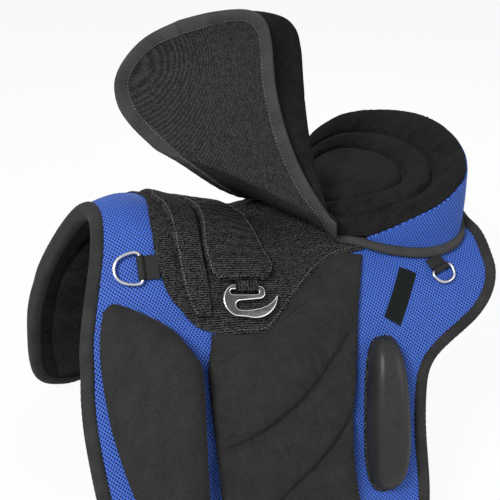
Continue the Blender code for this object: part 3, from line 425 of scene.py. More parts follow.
def weave():
    """Plain woven webbing; the vector is metres along and across the strap."""
    tree, given, made = new_group("weave")
    along, over = (times(part, given["Scale"]) for part in parts_of(given["Vector"])[:2])
    warp = times(wave(add(along, over)), 0.5)
    weft = times(wave(maths("SUBTRACT", along, over)), 0.5)
    check = add(times(warp, weft), 0.5)
    fuzz = grain(given["Vector"], 1.0, stretch=(1300, 1300, 1))
    share = add(times(check, 0.6), times(fuzz, 0.4), clamp=True)
    return shown(tree, made, blend_colours(share, given["Low"], given["High"]),
                 spread_of(fuzz, 0.3, 0.7, 0.5, 0.68), add(check, times(fuzz, 0.3)))


def brushed():
    """Metal drawn in one direction, with soft smudges; its sharp edges are painted lighter, a painted
    highlight.
    """
    tree, given, made = new_group("brushed")
    lines = grain(given["Vector"], 1.0, stretch=(60, 60, 2600))
    smudge = grain(given["Vector"], 130.0, 3.0)
    # Sharp edges, found by pointiness, pushed towards the light colour: a painted highlight
    edge = spread_of(put(tree, "ShaderNodeNewGeometry").outputs["Pointiness"], 0.52, 0.60)
    share = add(times(lines, given["Scale"]), edge, clamp=True)
    return shown(tree, made, blend_colours(share, given["Low"], given["High"]),
                 add(spread_of(smudge, 0.3, 0.7, 0.12, 0.30), times(lines, 0.10)), add(lines, smudge))


GROUPS = {g.name: g for g in (spacer_mesh(), nap(), looped_pile(), rib(), weave(), brushed())}


def material(name, group, bump, distance, coords="Object", low=None, high=None, scale=None, **shader):
    """A finish on the Principled shader: a group gives colour, roughness and bump height."""
    mat = bpy.data.materials.new(name)
    mat.use_nodes = True
    tree = mat.node_tree
    main = tree.nodes["Principled BSDF"]
    look = put(tree, "ShaderNodeGroup", node_tree=GROUPS[group])
    tree.links.new(put(tree, "ShaderNodeTexCoord").outputs[coords], look.inputs["Vector"])
    for key, value in (("Low", low and (*low, 1.0)), ("High", high and (*high, 1.0)), ("Scale", scale)):
        if value is not None:
            look.inputs[key].default_value = value
    tree.links.new(look.outputs["Color"], main.inputs["Base Color"])
    tree.links.new(look.outputs["Roughness"], main.inputs["Roughness"])
    relief = put(tree, "ShaderNodeBump",
                 {"Strength": bump, "Distance": distance, "Height": look.outputs["Height"]})
    tree.links.new(relief.outputs[0], main.inputs["Normal"])
    for key, value in shader.items():
        main.inputs[key.replace("_", " ")].default_value = value
    return mat


def per_wave(length):
    """Turns of a sine for each metre, for waves of a length in metres."""
    return 2 * math.pi / length


MESH = material("spacer_mesh_blue", "spacer_mesh", 0.55, 0.0009, "UV", Specular_IOR_Level=0.25)
SUEDE = material("microsuede_black", "nap", 0.30, 0.0004, low=(0.0175, 0.0173, 0.017), scale=1.5,
                 high=(0.0315, 0.031, 0.0305), Specular_IOR_Level=0.06, Sheen_Weight=0.03,
                 Sheen_Roughness=0.5)
ROLL_SUEDE = material("roll_suede_black", "nap", 0.22, 0.0003, low=(0.008, 0.0079, 0.0078), scale=1.5,
                      high=(0.024, 0.0235, 0.023), Specular_IOR_Level=0.2, Coat_Weight=0.3,
                      Coat_Roughness=0.34)
SEATING = material("seat_suede_black", "nap", 0.22, 0.0003, low=(0.007, 0.0069, 0.0068), scale=1.5,
                   high=(0.020, 0.0196, 0.0192), Specular_IOR_Level=0.03)
LINER = material("brushed_liner_black", "pile", 0.5, 0.0005, low=(0.014, 0.014, 0.014), scale=1.25,
                 high=(0.048, 0.0475, 0.047), Specular_IOR_Level=0.05)
LOOP = material("loop_fabric_black", "pile", 0.8, 0.0007, "UV", low=(0.003, 0.003, 0.003), scale=1.0,
                high=(0.074, 0.073, 0.072), Specular_IOR_Level=0.03)
FLEECE = material("fleece_black", "nap", 0.9, 0.0016, low=(0.003, 0.003, 0.0032), scale=0.8,
                  high=(0.022, 0.022, 0.023), Specular_IOR_Level=0.04)
BINDING = material("binding_tape_black", "rib", 0.5, 0.0004, "UV", low=(0.010, 0.010, 0.0102),
                   high=(0.052, 0.051, 0.052), scale=per_wave(0.0021), Specular_IOR_Level=0.08)
SEAT_TAPE = material("seat_tape_black", "rib", 0.5, 0.0004, "UV", low=(0.018, 0.018, 0.0182),
                     high=(0.078, 0.077, 0.078), scale=per_wave(0.0021), Specular_IOR_Level=0.08)
WEBBING = material("webbing_black", "weave", 0.5, 0.0004, "UV", low=(0.005, 0.005, 0.0052),
                   high=(0.034, 0.034, 0.035), scale=per_wave(0.0030), Specular_IOR_Level=0.12)
LABELLING = material("woven_label_black", "weave", 0.3, 0.0002, "UV", low=(0.0015, 0.003, 0.0025),
                     high=(0.006, 0.010, 0.008), scale=per_wave(0.0016), Specular_IOR_Level=0.1)
FOAMY = material("foam_grey", "nap", 0.5, 0.0005, low=(0.06, 0.06, 0.066), high=(0.12, 0.12, 0.13), scale=0.6)
STEEL = material("polished_steel", "brushed", 0.05, 0.0002, low=(0.34, 0.34, 0.35), high=(0.86, 0.86, 0.88),
                 scale=0.5, Metallic=1.0)
GUNMETAL = material("brushed_dark_steel", "brushed", 0.12, 0.0002, low=(0.040, 0.040, 0.042),
                    high=(0.34, 0.34, 0.35), scale=0.35, Metallic=1.0)
# Lighter copy of the dark steel for the hook's rounded edges: a painted highlight
EDGE_HIGHLIGHT_STEEL = material("polished_edge_steel", "brushed", 0.05, 0.0002, low=(0.62, 0.62, 0.63),
                      high=(0.90, 0.90, 0.91), scale=0.5, Metallic=1.0)
THREAD = material("thread_grey", "nap", 0.3, 0.0001, low=(0.11, 0.11, 0.112), high=(0.24, 0.24, 0.245),
                  scale=1.0)
DARK_THREAD = material("thread_black", "nap", 0.3, 0.0001, low=(0.006, 0.006, 0.006),
                       high=(0.020, 0.020, 0.020), scale=1.0)


# Mesh helpers
def metres(points):
    p = np.array(points, float).reshape(-1, 3)
    p[:, 0] -= ORIGIN_X
    p[:, 2] = np.maximum(p[:, 2] + FLAP_DROP, 0.0)
    return p * 0.001


@contextmanager
def edited(mesh):
    """A mesh opened for editing and written back."""
    bm = bmesh.new()
    bm.from_mesh(mesh)
    yield bm
    bm.to_mesh(mesh)
    bm.free()


def coords_of(mesh):
    co = np.empty((len(mesh.vertices), 3), np.float32)
    mesh.vertices.foreach_get("co", co.ravel())
    return co


def move_to(mesh, co):
    mesh.vertices.foreach_set("co", co.astype(np.float32).ravel())
    mesh.update()


def lay_uv(mesh, uv):
    """UV map in pattern metres, from one pair for each point."""
    layer = mesh.uv_layers.new(name="pattern")
    corner = np.empty(len(mesh.loops), np.int64)
    mesh.loops.foreach_get("vertex_index", corner)
    layer.data.foreach_set("uv", uv[corner].astype(np.float32).ravel())


def shade_smooth(mesh, angle):
    mesh.polygons.foreach_set("use_smooth", [True] * len(mesh.polygons))
    mesh.set_sharp_from_angle(angle=math.radians(angle))


def make(name, points, faces, mat, uv=None, angle=60.0):
    """Closed mesh object from datum millimetres, with a UV for each point in millimetres."""
    mesh = bpy.data.meshes.new(name)
    mesh.from_pydata(metres(points).tolist(), [], [tuple(f) for f in faces])
    if uv is not None:
        lay_uv(mesh, np.asarray(uv, float).reshape(-1, 2) * 0.001)
    with edited(mesh) as bm:
        bmesh.ops.recalc_face_normals(bm, faces=bm.faces)
    shade_smooth(mesh, angle)
    mesh.materials.append(mat)
    return linked(name, mesh)


def ringed(rings, joined=False):
    """Points and faces through closed rings; joined closes the last ring onto the first."""
    rings = np.asarray(rings)
    rows, around = rings.shape[:2]
    i, j = np.meshgrid(np.arange(rows if joined else rows - 1), np.arange(around), indexing="ij")
    k, on = (j + 1) % around, (i + 1) % rows
    faces = np.stack([i * around + j, i * around + k, on * around + k, on * around + j], -1)
    return rings.reshape(-1, 3), faces.reshape(-1, 4).tolist()


def slab(lower, upper):
    """Closed body between two grids: the upper points first, then the lower."""
    nv, nu = lower.shape[:2]
    n = nu * nv
    j, i = np.meshgrid(np.arange(nv - 1), np.arange(nu - 1), indexing="ij")
    a = (j * nu + i).ravel()
    top = np.stack([a, a + 1, a + nu + 1, a + nu], -1)
    rim = [k * nu for k in range(nv)] + [(nv - 1) * nu + k for k in range(1, nu)]
    rim += [k * nu + nu - 1 for k in range(nv - 2, -1, -1)] + [k for k in range(nu - 2, 0, -1)]
    rim = np.array(rim)
    nxt = np.roll(rim, -1)
    sides = np.stack([rim, nxt, n + nxt, n + rim], -1)
    faces = np.concatenate([top, top[:, ::-1] + n, sides])
    return np.concatenate([upper.reshape(-1, 3), lower.reshape(-1, 3)]), faces.tolist()


def sewn(name, grid, low, high, mat, angle=60.0):
    """Slab over a pattern grid between two heights, its UV being the pattern."""
    x, s = grid[..., 0], grid[..., 1]
    low = np.broadcast_to(np.asarray(low, float), x.shape)
    high = np.broadcast_to(np.asarray(high, float), x.shape)
    points, faces = slab(wrap(x, s, low), wrap(x, s, high))
    uv = np.concatenate([grid.reshape(-1, 2)] * 2)
    return make(name, points, faces, mat, uv, angle)


def mirrored(obj, name):
    """Copy of a left piece across the ridge."""
    mesh = obj.data.copy()
    mesh.transform(Matrix.Scale(-1, 4, (0, 1, 0)))
    mesh.flip_normals()
    return linked(name, mesh)


def both(obj):
    """A left piece, named with _l at its end, and its mirrored twin, with their sides."""
    return (obj, "left"), (mirrored(obj, obj.name[:-2] + "_r"), "right")


def settle(obj, body, slot, *nodes, fill=None):
    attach(obj, body)
    if nodes:
        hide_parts(*nodes)
    return obj


def rounded(U, V, power=0.5):
    """1 inside the pattern, falling in a quarter round to 0 at its edge lines."""
    u, v = U[None, :], V[:, None]
    return ((1 - np.abs(2 * u - 1) ** 30) * (1 - np.abs(2 * v - 1) ** 60)) ** power


# Cloth pass
SOFT = []
CLOTH_FRAMES = 20


def puff(obj, held, pressure=4.0, cap=0.006, slack=0.0):
    """Marks a closed mesh for the cloth pass; held is a 0-1 weight for each point."""
    SOFT.append((obj, np.asarray(held, float).ravel(), cap))
    pins = obj.vertex_groups.new(name="held")
    for k, value in enumerate(SOFT[-1][1]):
        if value > 0.01:
            pins.add([k], float(value), "REPLACE")
    cloth = obj.modifiers.new("puff", "CLOTH")
    s = cloth.settings
    s.vertex_group_mass = "held"
    s.use_pressure = True
    s.uniform_pressure_force = pressure
    s.mass = 0.25
    s.quality = 4
    s.tension_stiffness = s.compression_stiffness = s.shear_stiffness = 12
    s.bending_stiffness = 0.6
    s.shrink_min = -slack
    s.effector_weights.gravity = 0
    cloth.collision_settings.use_collision = False
    cloth.point_cache.frame_start = 1
    cloth.point_cache.frame_end = CLOTH_FRAMES


def inflate():
    """Runs every cloth piece together, caps the travel and keeps the result."""
    for f in range(1, CLOTH_FRAMES + 1):
        SCENE.frame_set(f)
    graph = bpy.context.evaluated_depsgraph_get()
    for obj, held, cap in SOFT:
        shaped = obj.evaluated_get(graph)
        new = coords_of(shaped.to_mesh())
        shaped.to_mesh_clear()
        old = coords_of(obj.data)
        move = (new - old).astype(float)
        far = np.linalg.norm(move, axis=1, keepdims=True)
        move *= cap * np.tanh(far / cap) / np.maximum(far, 1e-9)
        move *= (1 - np.clip(held, 0, 1))[:, None]
        obj.modifiers.clear()
        obj.vertex_groups.clear()
        move_to(obj.data, old + move.astype(np.float32))
    SCENE.frame_set(1)


def ripple(points, size, seed=0.0):
    """Smooth noise in -1..1 at each datum point; size is the wave in mm."""
    flat = np.asarray(points, float).reshape(-1, 3)
    out = [noise.noise(Vector(p / size + seed)) for p in flat]
    return np.array(out).reshape(np.shape(points)[:-1])


# Base: cover, foam and lining, under one bound edge
def base_rows(step, end_rows):
    """Rows down one flap: even ones, then closer ones near its foot."""
    return np.concatenate([np.arange(0, 365, step), np.linspace(365, 440, end_rows)])


fine = base_grid(base_rows(5.0, 17), 5)
edge_in = np.minimum(np.abs(fine[..., 0] - fine[:, :1, 0]), np.abs(fine[:, -1:, 0] - fine[..., 0]))
pillow = -0.9 * np.exp(-(edge_in / 7) ** 2) + 0.35 * ripple(lay(fine[..., 0], fine[..., 1]), 42)
settle(sewn("cover", fine, COVER_LOW, pillow, MESH), ROOT, "mesh_blue", "mesh_cover")
middle = base_grid(base_rows(10.0, 9), 3, INNER_SET)
settle(sewn("foam", middle, FOAM_LOW, FOAM_HIGH, FOAMY), ROOT, "foam_grey", "foam_core", fill=0.9)
inner = base_grid(base_rows(5.0, 17), 5, INNER_SET)
tufts = 0.5 * ripple(lay(inner[..., 0], inner[..., 1]), 9, 3.0)
settle(sewn("lining", inner, LINING_LOW + tufts, LINING_HIGH, FLEECE), ROOT, "fleece_black", "base_lining")


def outline_of(grid, step):
    """The grid's outline as an even closed path, with its length so far."""
    path = np.concatenate([grid[:, 0], grid[-1, 1:], grid[-2::-1, -1], grid[0, -2:0:-1]])
    ring_path = np.concatenate([path, path[:1]])
    seg = np.sqrt((np.diff(ring_path, axis=0) ** 2).sum(1))
    knots = np.concatenate([[0], np.cumsum(seg)])
    count = int(knots[-1] / step)
    t = np.linspace(0, knots[-1], count, endpoint=False)
    return np.stack([np.interp(t, knots, ring_path[:, k]) for k in (0, 1)], -1), t


def eased(line, passes, middle=2):
    """A closed line with each point drawn towards its neighbours, some times over."""
    for _ in range(passes):
        line = (np.roll(line, 1, 0) + line * middle + np.roll(line, -1, 0)) / (middle + 2)
    return line


def inward_of(path):
    tangent = np.roll(path, -2, 0) - np.roll(path, 2, 0)
    tangent /= np.maximum(np.linalg.norm(tangent, axis=1, keepdims=True), 1e-9)
    way = np.stack([tangent[:, 1], -tangent[:, 0]], -1)
    return -way if ((path.mean(0) - path) * way).sum() < 0 else way


def squared(t, power_in, power_up):
    """A round section's cosine and sine, both pressed towards a square."""
    c, s = np.cos(t), np.sin(t)
    return np.sign(c) * np.abs(c) ** power_in, np.sign(s) * np.abs(s) ** power_up


# The binding wraps the three layers: its section is centred BINDING_OUT outside the cover's edge,
# reaches BINDING_REACH to each side and stands BINDING_PROUD above and below the layers
LAYERS = -LINING_LOW
BINDING_OUT, BINDING_REACH, BINDING_PROUD = 1.0, 7.9, 2.4
turns = np.linspace(0, 2 * np.pi, 18, endpoint=False)
section_in, section_up = squared(turns, 0.8, 0.75)
bead_in = -BINDING_OUT - BINDING_REACH * section_in
bead_at = -LAYERS / 2 + (LAYERS / 2 + BINDING_PROUD) * section_up
path, along = outline_of(fine, 2.2)
way = eased(inward_of(path), 3, 1)
pucker = 0.22 * np.sin(along / 6.3 * 2 * np.pi + 2.0 * np.sin(along / 41)) * (0.6 + 0.4 * np.sin(along / 17))
rings = []
for a_in, at in zip(bead_in, bead_at):
    grow = 1 + pucker / LAYERS * 1.6
    q = path + way * (-BINDING_OUT + (a_in + BINDING_OUT) * grow)[:, None]
    rings.append(wrap(q[:, 0], q[:, 1], -LAYERS / 2 + (at + LAYERS / 2) * grow))
bead_points, bead_faces = ringed(np.stack(rings, 1), True)
bead_uv = np.stack(np.broadcast_arrays(along[:, None], turns[None] * LAYERS / 2), -1)
settle(make("binding", bead_points, bead_faces, BINDING, bead_uv), ROOT, "binding_black", "edge_binding")

# Pads of the left side; the right ones are the settled left ones mirrored
PAIRS = []


def pad(name, grid, low, high, slot, fill, held, pressure, slack=0.0):
    """A soft pad whose underside is sewn down; held says what else is, on its top."""
    obj = sewn(name + "_l", grid, low, high, SUEDE)
    puff(obj, np.concatenate([np.ravel(held), np.ones(grid.shape[:2]).ravel()]), pressure, 0.004, slack)
    PAIRS.append((obj, slot, fill))


def distance_to(grid, lines):
    """Pattern distance of each grid point from the nearest of some curves."""
    gap = np.full(grid.shape[:2], 1e3)
    for line in lines:
        pts = resample(line, 60)
        gap = np.minimum(gap, np.sqrt(((grid[:, :, None] - pts[None, None]) ** 2).sum(-1)).min(-1))
    return gap


def rim_of(shape):
    held = np.zeros(shape)
    held[:2] = held[-2:] = 1
    held[:, :2] = held[:, -2:] = 1
    return held


def bell(distance, width):
    return np.exp(-(distance / width) ** 2)


# Knee rolls: steep towards the front edge, easy towards the rear one
U, V = shares(34), shares(64, 0.006)
u, v = U[None, :], V[:, None]
knee = coons(U=U, V=V, **KNEE)
knee[..., 0] += 8.0 * u ** 3 * smooth(v / 0.12)
ends = (1 - (2 * v - 1) ** 8) ** 0.5
side = (0.30 + 0.70 * np.sin(np.clip(u * 1.12, 0, 1) * np.pi / 2)) * (1 - u ** 14) ** 0.5
side = side * (1 - (1 - u) ** 6) ** 0.5
knee_high = LAYER_GAP + 1.0 + (ROLL_LOFT + 0.5) * side * ends
pad("knee_roll", knee, LAYER_GAP, knee_high, "suede_black", 0.8, rim_of(knee.shape[:2]), 3.0)

# Leg panels: two deep sewn channels and a faint one, with creases beside them
U, V = shares(88), shares(132, 0.005)
u, v = U[None, :], V[:, None]
leg = coons(U=U, V=V, **LEG)
leg[..., 1] -= 0.8 * (1 - v) ** 4
leg[..., 0] -= 5.5 * (1 - u) ** 3 * smooth(v / 0.2)
gap = distance_to(leg, CHANNELS[:2])
faint = distance_to(leg, CHANNELS[2:])
crown = ((1 - np.abs(2 * u - 1) ** 8) * (1 - np.abs(2 * v - 1) ** 10)) ** 0.5
lift = LAYER_GAP + 3.6 * np.clip((v - 0.48) / 0.16, 0, 1) + 0.5 * np.clip((190 - leg[..., 1]) / 30, 0, 1)
dip = 5.2 * bell(gap, 10.0) + 5.2 * bell(gap, 3.3)
dip += 0.9 * bell(faint, 6.0) + 1.5 * bell(faint, 2.0)
leg_p = lay(leg[..., 0], leg[..., 1])
creases = 1.5 * ripple(leg_p * [1, 1, 0.5], 15, 5.0) + 1.0 * ripple(leg_p * [1, 1, 0.4], 6, 1.0)
creases = creases * bell(gap - 7, 11)
leg_high = lift + 1.6 + LEG_LOFT * crown - dip * crown + creases * crown
held = np.maximum(rim_of(leg.shape[:2]), bell(gap, 4.0))
pad("leg_panel", leg, lift, leg_high, "suede_black", 0.6, held, 4.0, 0.02)

# Underside panels, puffed downwards
U, V = shares(40), shares(56, 0.008)
u, v = U[None, :], V[:, None]
panel = coons(U=U, V=V, **PANEL)
panel_crown = ((1 - (2 * u - 1) ** 6) * (1 - (2 * v - 1) ** 8)) ** 0.5
panel_high = LINING_LOW - LAYER_GAP - 1.1 - 1.9 * np.clip((150 - panel[..., 1]) / 50, 0, 1)
panel_p = lay(panel[..., 0], panel[..., 1])
panel_low = panel_high - 1.5 - PANEL_LOFT * panel_crown + 0.5 * ripple(panel_p, 12, 7.0)
under = sewn("underside_panel_l", panel, panel_low, panel_high, FLEECE)
puff(under, np.concatenate([np.ones(panel.shape[:2]).ravel(), rim_of(panel.shape[:2]).ravel()]), 3.0, 0.003)
PAIRS.append((under, "fleece_black", 0.6))


# Thigh rolls on their loop patches
def oval(centre, axes, rings_at, around=96, power=2.9):
    """Rings of a leaning squared oval, a little wider at its foot."""
    t = np.linspace(0, 2 * np.pi, around, endpoint=False)
    a = np.radians(THIGH_LEAN)
    c, s = squared(t, 2 / power, 2 / power)
    ex, es = axes[0] * c, axes[1] * s
    ex *= np.where(ex < 0, 1 + 0.16 * es / axes[1], 1 + 0.05 * es / axes[1])
    edge = np.stack([ex * np.cos(a) - es * np.sin(a), ex * np.sin(a) + es * np.cos(a)], -1)
    return np.array([np.array(centre) + edge * r for r in rings_at])


def dome(grid, heights, foot):
    """Closed pad over rings; both middles are fans. Returns points, faces, UVs."""
    n, m = grid.shape[:2]
    top = np.concatenate([wrap(grid[k, :, 0], grid[k, :, 1], np.full(m, heights[k])) for k in range(n)])
    low = np.concatenate([wrap(grid[k, :, 0], grid[k, :, 1], np.full(m, foot)) for k in range(n - 1, -1, -1)])
    centre = grid[0].mean(0)
    caps = wrap(np.array([centre[0]] * 2), np.array([centre[1]] * 2), np.array([heights[0], foot]))
    faces = []
    for j in range(m):
        k = (j + 1) % m
        faces += [(i * m + j, (i + 1) * m + j, (i + 1) * m + k, i * m + k) for i in range(2 * n - 1)]
        faces.append((j, k, 2 * n * m))
        faces.append(((2 * n - 1) * m + j, 2 * n * m + 1, (2 * n - 1) * m + k))
    uv = np.concatenate([grid.reshape(-1, 2), grid[::-1].reshape(-1, 2), [centre, centre]])
    return np.concatenate([top, low, caps]), faces, uv


PATCH_HIGH = LAYER_GAP * 3 + 1.4
x_mid, s_mid = THIGH_CENTRE[0] + 1.5, THIGH_CENTRE[1]
backing = oval((x_mid, s_mid - 0.5), (25.2, 83.0), np.linspace(0.06, 1, 14))
points, faces, uv = dome(backing, [PATCH_HIGH] * 13 + [LAYER_GAP * 2 + 0.9], LAYER_GAP)
PAIRS.append((make("thigh_patch_l", points, faces, LOOP, uv), "loop_black", None))
radii = np.concatenate([[0.04], np.linspace(0.1, 0.86, 13), [0.9, 0.93, 0.955, 0.975, 0.988, 0.996, 1.0]])
roll = oval((x_mid, s_mid - 2.0), (THIGH_AXES[0] - 4.0, THIGH_AXES[1] - 0.5), radii)
roll_heights = [PATCH_HIGH + 2.0 + (THIGH_LOFT - 3.0) * math.sqrt(1 - min(r, 0.9995) ** 4.0) for r in radii]
points, faces, uv = dome(roll, roll_heights, PATCH_HIGH)
thigh = make("thigh_roll_l", points, faces, ROLL_SUEDE, uv)
held = np.zeros(len(points))
around = roll.shape[1]
top_points = len(radii) * around
held[top_points - 2 * around:] = 1
held[2 * top_points] = 0
puff(thigh, held, 3.0, 0.003)
PAIRS.append((thigh, "suede_black", 0.85))

# Billets
BILLET_TOP, BILLET_CUT, BILLET_TIP = 346, 416, 426
for word, x0 in (("front", 112.0), ("rear", 176.0)):
    U, V = shares(9, 0.03), shares(40, 0.008)
    edges = [[(x0 + side * 12.5, BILLET_TOP), (x0 + side * 12.5, BILLET_CUT), (x0 + side * 9, BILLET_TIP)]
             for side in (-1, 1)]
    strip = coons([e[0] for e in edges], [e[-1] for e in edges], *edges, U, V)
    billet = sewn("billet_" + word + "_l", strip, LAYER_GAP, LAYER_GAP + 0.9 + 1.5 * rounded(U, V), WEBBING)
    PAIRS.append((billet, "webbing_black", None))


# Loop fabric over the middle, its band over the front arch, and the stirrup strap
def step_up(s):
    """Height that the layers under the loop fabric gain where the pads begin."""
    return 0.9 * np.clip((s - 90) / 20, 0, 1)


COLUMNS = 141
loop_lines = np.interp(np.linspace(0, 7, COLUMNS), [0, 0.8, 1.2, 1.6, 2.0, 4.2, 6.3, 7],
                       [0.0, 66, 96, 128, 170, 214, 258, 284])
upper_rows = np.stack(np.broadcast_arrays(loop_lines[None], np.arange(0.0, 90.0, 1.5)[:, None]), -1)
foot_s = np.where(loop_lines < 100, np.interp(loop_lines, [0, 66, 96, 100], [150, 163, 171, 172.5]),
                  field(LOOP_FOOT, loop_lines)) + 2.0
lower_rows = [np.stack([loop_lines, 90 + (foot_s - 90) * share], -1) for share in np.linspace(0, 1, 25)]
half = np.concatenate([upper_rows, np.array(lower_rows)])
front_x = field(LOOP_FRONT, half[:, 0, 1])
w = smooth(half[..., 0] / 110)
half[..., 0] = np.maximum(half[..., 0] * w + (front_x[:, None] + half[..., 0] * 0.35) * (1 - w), 0)
half[:, 0, 0] = front_x
least = front_x[:, None] + np.arange(COLUMNS) * 0.2
half[..., 0] = np.maximum.accumulate(np.maximum(half[..., 0], least), axis=1)
loop_grid = np.concatenate([half[:0:-1] * [1, -1], half])
loop_x, s_abs = loop_grid[..., 0], np.abs(loop_grid[..., 1])
loop_low = LAYER_GAP + step_up(s_abs)
zone = smooth((loop_x - 178) / 12) * smooth((s_abs - 4) / 14) * smooth((86 - s_abs) / 10)
slant = loop_x * 0.62 + s_abs * 0.78
wave_at = slant / 4.6 * np.pi + 2.0 * ripple(loop_grid[..., [0, 1, 1]] * [1, 1, 0], 26)
ridges = (2.2 * np.abs(np.sin(wave_at)) ** 0.8 - 0.9) * zone
tab_rise = 3.0 * smooth((72 - loop_x) / 13) * smooth((23 - np.abs(s_abs - 95)) / 9)
fold_in = np.minimum(1, np.minimum(np.arange(COLUMNS), np.arange(COLUMNS)[::-1])[None] / 2)
fluff = 0.15 * ripple(wrap(loop_x, loop_grid[..., 1], loop_low), 6)
loop_high = loop_low + 0.7 + (0.8 + ridges + fluff) * fold_in
loop_high += tab_rise
settle(sewn("loop_cloth", loop_grid, loop_low - 0.3, loop_high, LOOP), ROOT, "loop_black", "loop_patch")


def band_round(s, end, cut, U):
    """1 on a band's top, falling in a round to its long edges and over cut mm to its ends."""
    tip = np.clip((end - s) / cut, 0, 1) ** 0.5
    return (1 - np.abs(2 * U[None] - 1) ** 24) ** 0.5 * tip


BAND_LOW = LAYER_GAP * 2 + 1.5
POMMEL_END, STRAP_END = 154, 118
U = shares(13, 0.04)
pommel = across(POMMEL_FRONT, POMMEL_REAR, list(np.arange(0, 149, 4.0)) + [150, 152, 153.2, POMMEL_END], U)
s_abs = np.abs(pommel[..., 1])
over = BAND_LOW + step_up(s_abs)
soft = 0.35 * ripple(wrap(pommel[..., 0], pommel[..., 1], over), 13, 2.0)
pommel_high = over + 1.2 + (STRAP + 0.8 + soft) * band_round(s_abs, POMMEL_END, 1.6, U)
settle(sewn("pommel_strap", pommel, over, pommel_high, LOOP), ROOT, "loop_black", "pommel_band")

STRAP_HUMP = 4.6
U = shares(31, 0.025)
strap = across(STRAP_FRONT, STRAP_REAR, list(np.arange(0, 116.2, 1.0)) + [116.8, 117.4, 117.8, STRAP_END], U)
s_abs = np.abs(strap[:, :1, 1])
cut_front = np.interp(s_abs, [0, 32, 64, 90, 107, 118], [122, 115, 106, 101, 100, 108])
cut_rear = np.interp(s_abs, [0, 26, 62, 90, 107, 118], [181, 175, 170, 169, 168, 157])
cut = smooth((s_abs - 84) / 16)
strap[..., 0] = strap[..., 0] * (1 - cut) + (cut_front + (cut_rear - cut_front) * U[None]) * cut
s_abs = np.abs(strap[..., 1])
strap_p = lay(strap[..., 0], strap[..., 1])
strap_low = BAND_LOW + smooth((s_abs - 82) / 16) * STRAP_HUMP
wales = 0.9 * np.abs(np.sin(strap[..., 1] / 3.1 * np.pi + 1.2 * ripple(strap_p, 22)))
wales *= 0.6 + 0.5 * ripple(strap_p, 9, 6.0)
strap_high = strap_low + 1.2 + (STRAP + 1.4 + wales) * band_round(s_abs, STRAP_END, 1.8, U)
settle(sewn("stirrup_band", strap, strap_low, strap_high, LOOP), ROOT, "loop_black", "stirrup_strap")


def on_label(u, v):
    """Pattern point at shares u and v of the bare label."""
    a, b, c, d = (np.array(q, float) for q in LABEL)
    return (1 - u) * (1 - v) * a + u * (1 - v) * b + u * v * c + (1 - u) * v * d


U, V = shares(9, 0.04), shares(17, 0.03)
label = on_label(U[None, :, None], V[:, None, None])
settle(sewn("label", label, LAYER_GAP + 0.1, LAYER_GAP + 0.6 + 0.6 * rounded(U, V), LABELLING),
       ROOT, "label_black", "label_patch")


# Metal and its webbing
def set_in(given, points):
    o, axes = given
    return o + np.asarray(points, float) @ axes.T


def carried(name, node, given, mat, reach=0.0, wider=1.0, shift=0.0):
    """A CAD node's shape in a new object, its edges rounded, its UV in the local frame.

    reach moves the far end on in metres, wider scales it across and shift moves it across.
    """
    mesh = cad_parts[node].data.copy()
    mesh.name = name
    obj = linked(name, mesh)
    with edited(mesh) as bm:
        bmesh.ops.remove_doubles(bm, verts=bm.verts, dist=1e-5)
        bmesh.ops.dissolve_limit(bm, angle_limit=math.radians(1), verts=bm.verts, edges=bm.edges)
        sharp = [e for e in bm.edges if len(e.link_faces) == 2 and e.calc_face_angle() > math.radians(35)]
        bmesh.ops.bevel(bm, geom=sharp, offset=0.0004, segments=2, profile=0.6, affect="EDGES",
                        clamp_overlap=True)
        bmesh.ops.triangulate(bm, faces=[f for f in bm.faces if len(f.verts) > 4])
    o, axes = given
    co = coords_of(mesh).astype(float)
    local = (co - metres(o)[0]) @ axes
    co += (local[:, 1:2] > 0.009) * axes[:, 1] * reach + (local[:, :1] * (wider - 1) + shift) * axes[:, 0]
    move_to(mesh, co)
    while mesh.uv_layers:
        mesh.uv_layers.remove(mesh.uv_layers[0])
    lay_uv(mesh, local[:, [1, 0]])
    shade_smooth(mesh, 50)
    mesh.materials.clear()
    mesh.materials.append(mat)
    return obj


def wire_ring(name, given, width, bow, wire=1.65):
    """D-ring of round wire: a straight bar, easy corners and a round bow."""
    a = width / 2
    path = [(a * t, 0.0) for t in np.linspace(0.9, -0.9, 19)]
    path += [(-a * math.copysign(abs(math.cos(t)) ** 0.86, math.cos(t)), -2 - (bow - 2) * math.sin(t) ** 0.86)
             for t in np.linspace(0.0, math.pi, 49)]
    path = eased(np.array(path), 3)
    t = np.roll(path, -1, 0) - np.roll(path, 1, 0)
    t /= np.linalg.norm(t, axis=1, keepdims=True)
    out = np.stack([t[:, 1], -t[:, 0], np.zeros(len(t))], -1)
    centre = np.c_[path, np.zeros(len(path))]
    outward = np.array([0, 0, 1])
    rings_at = [centre + wire * (math.cos(b) * out + math.sin(b) * outward)
                for b in np.linspace(0, 2 * np.pi, 16, endpoint=False)]
    points, faces = ringed(np.stack(rings_at, 1), True)
    return make(name, set_in(given, points), faces, STEEL)


def arc(cx, cy, r, a0, a1, n):
    t = np.radians(np.linspace(a0, a1, n))
    return np.stack([cx + r * np.cos(t), cy + r * np.sin(t)], -1)


def even(line, step=0.7):
    """Closed outline, evenly resampled."""
    line = np.concatenate([line, line[:1]])
    knots = np.concatenate([[0], np.cumsum(np.linalg.norm(np.diff(line, axis=0), axis=1))])
    t = np.linspace(0, knots[-1], int(knots[-1] / step), endpoint=False)
    return np.stack([np.interp(t, knots, line[:, k]) for k in (0, 1)], -1)


PLATE_HALF, PLATE_ROUND = 0.75, 1.05


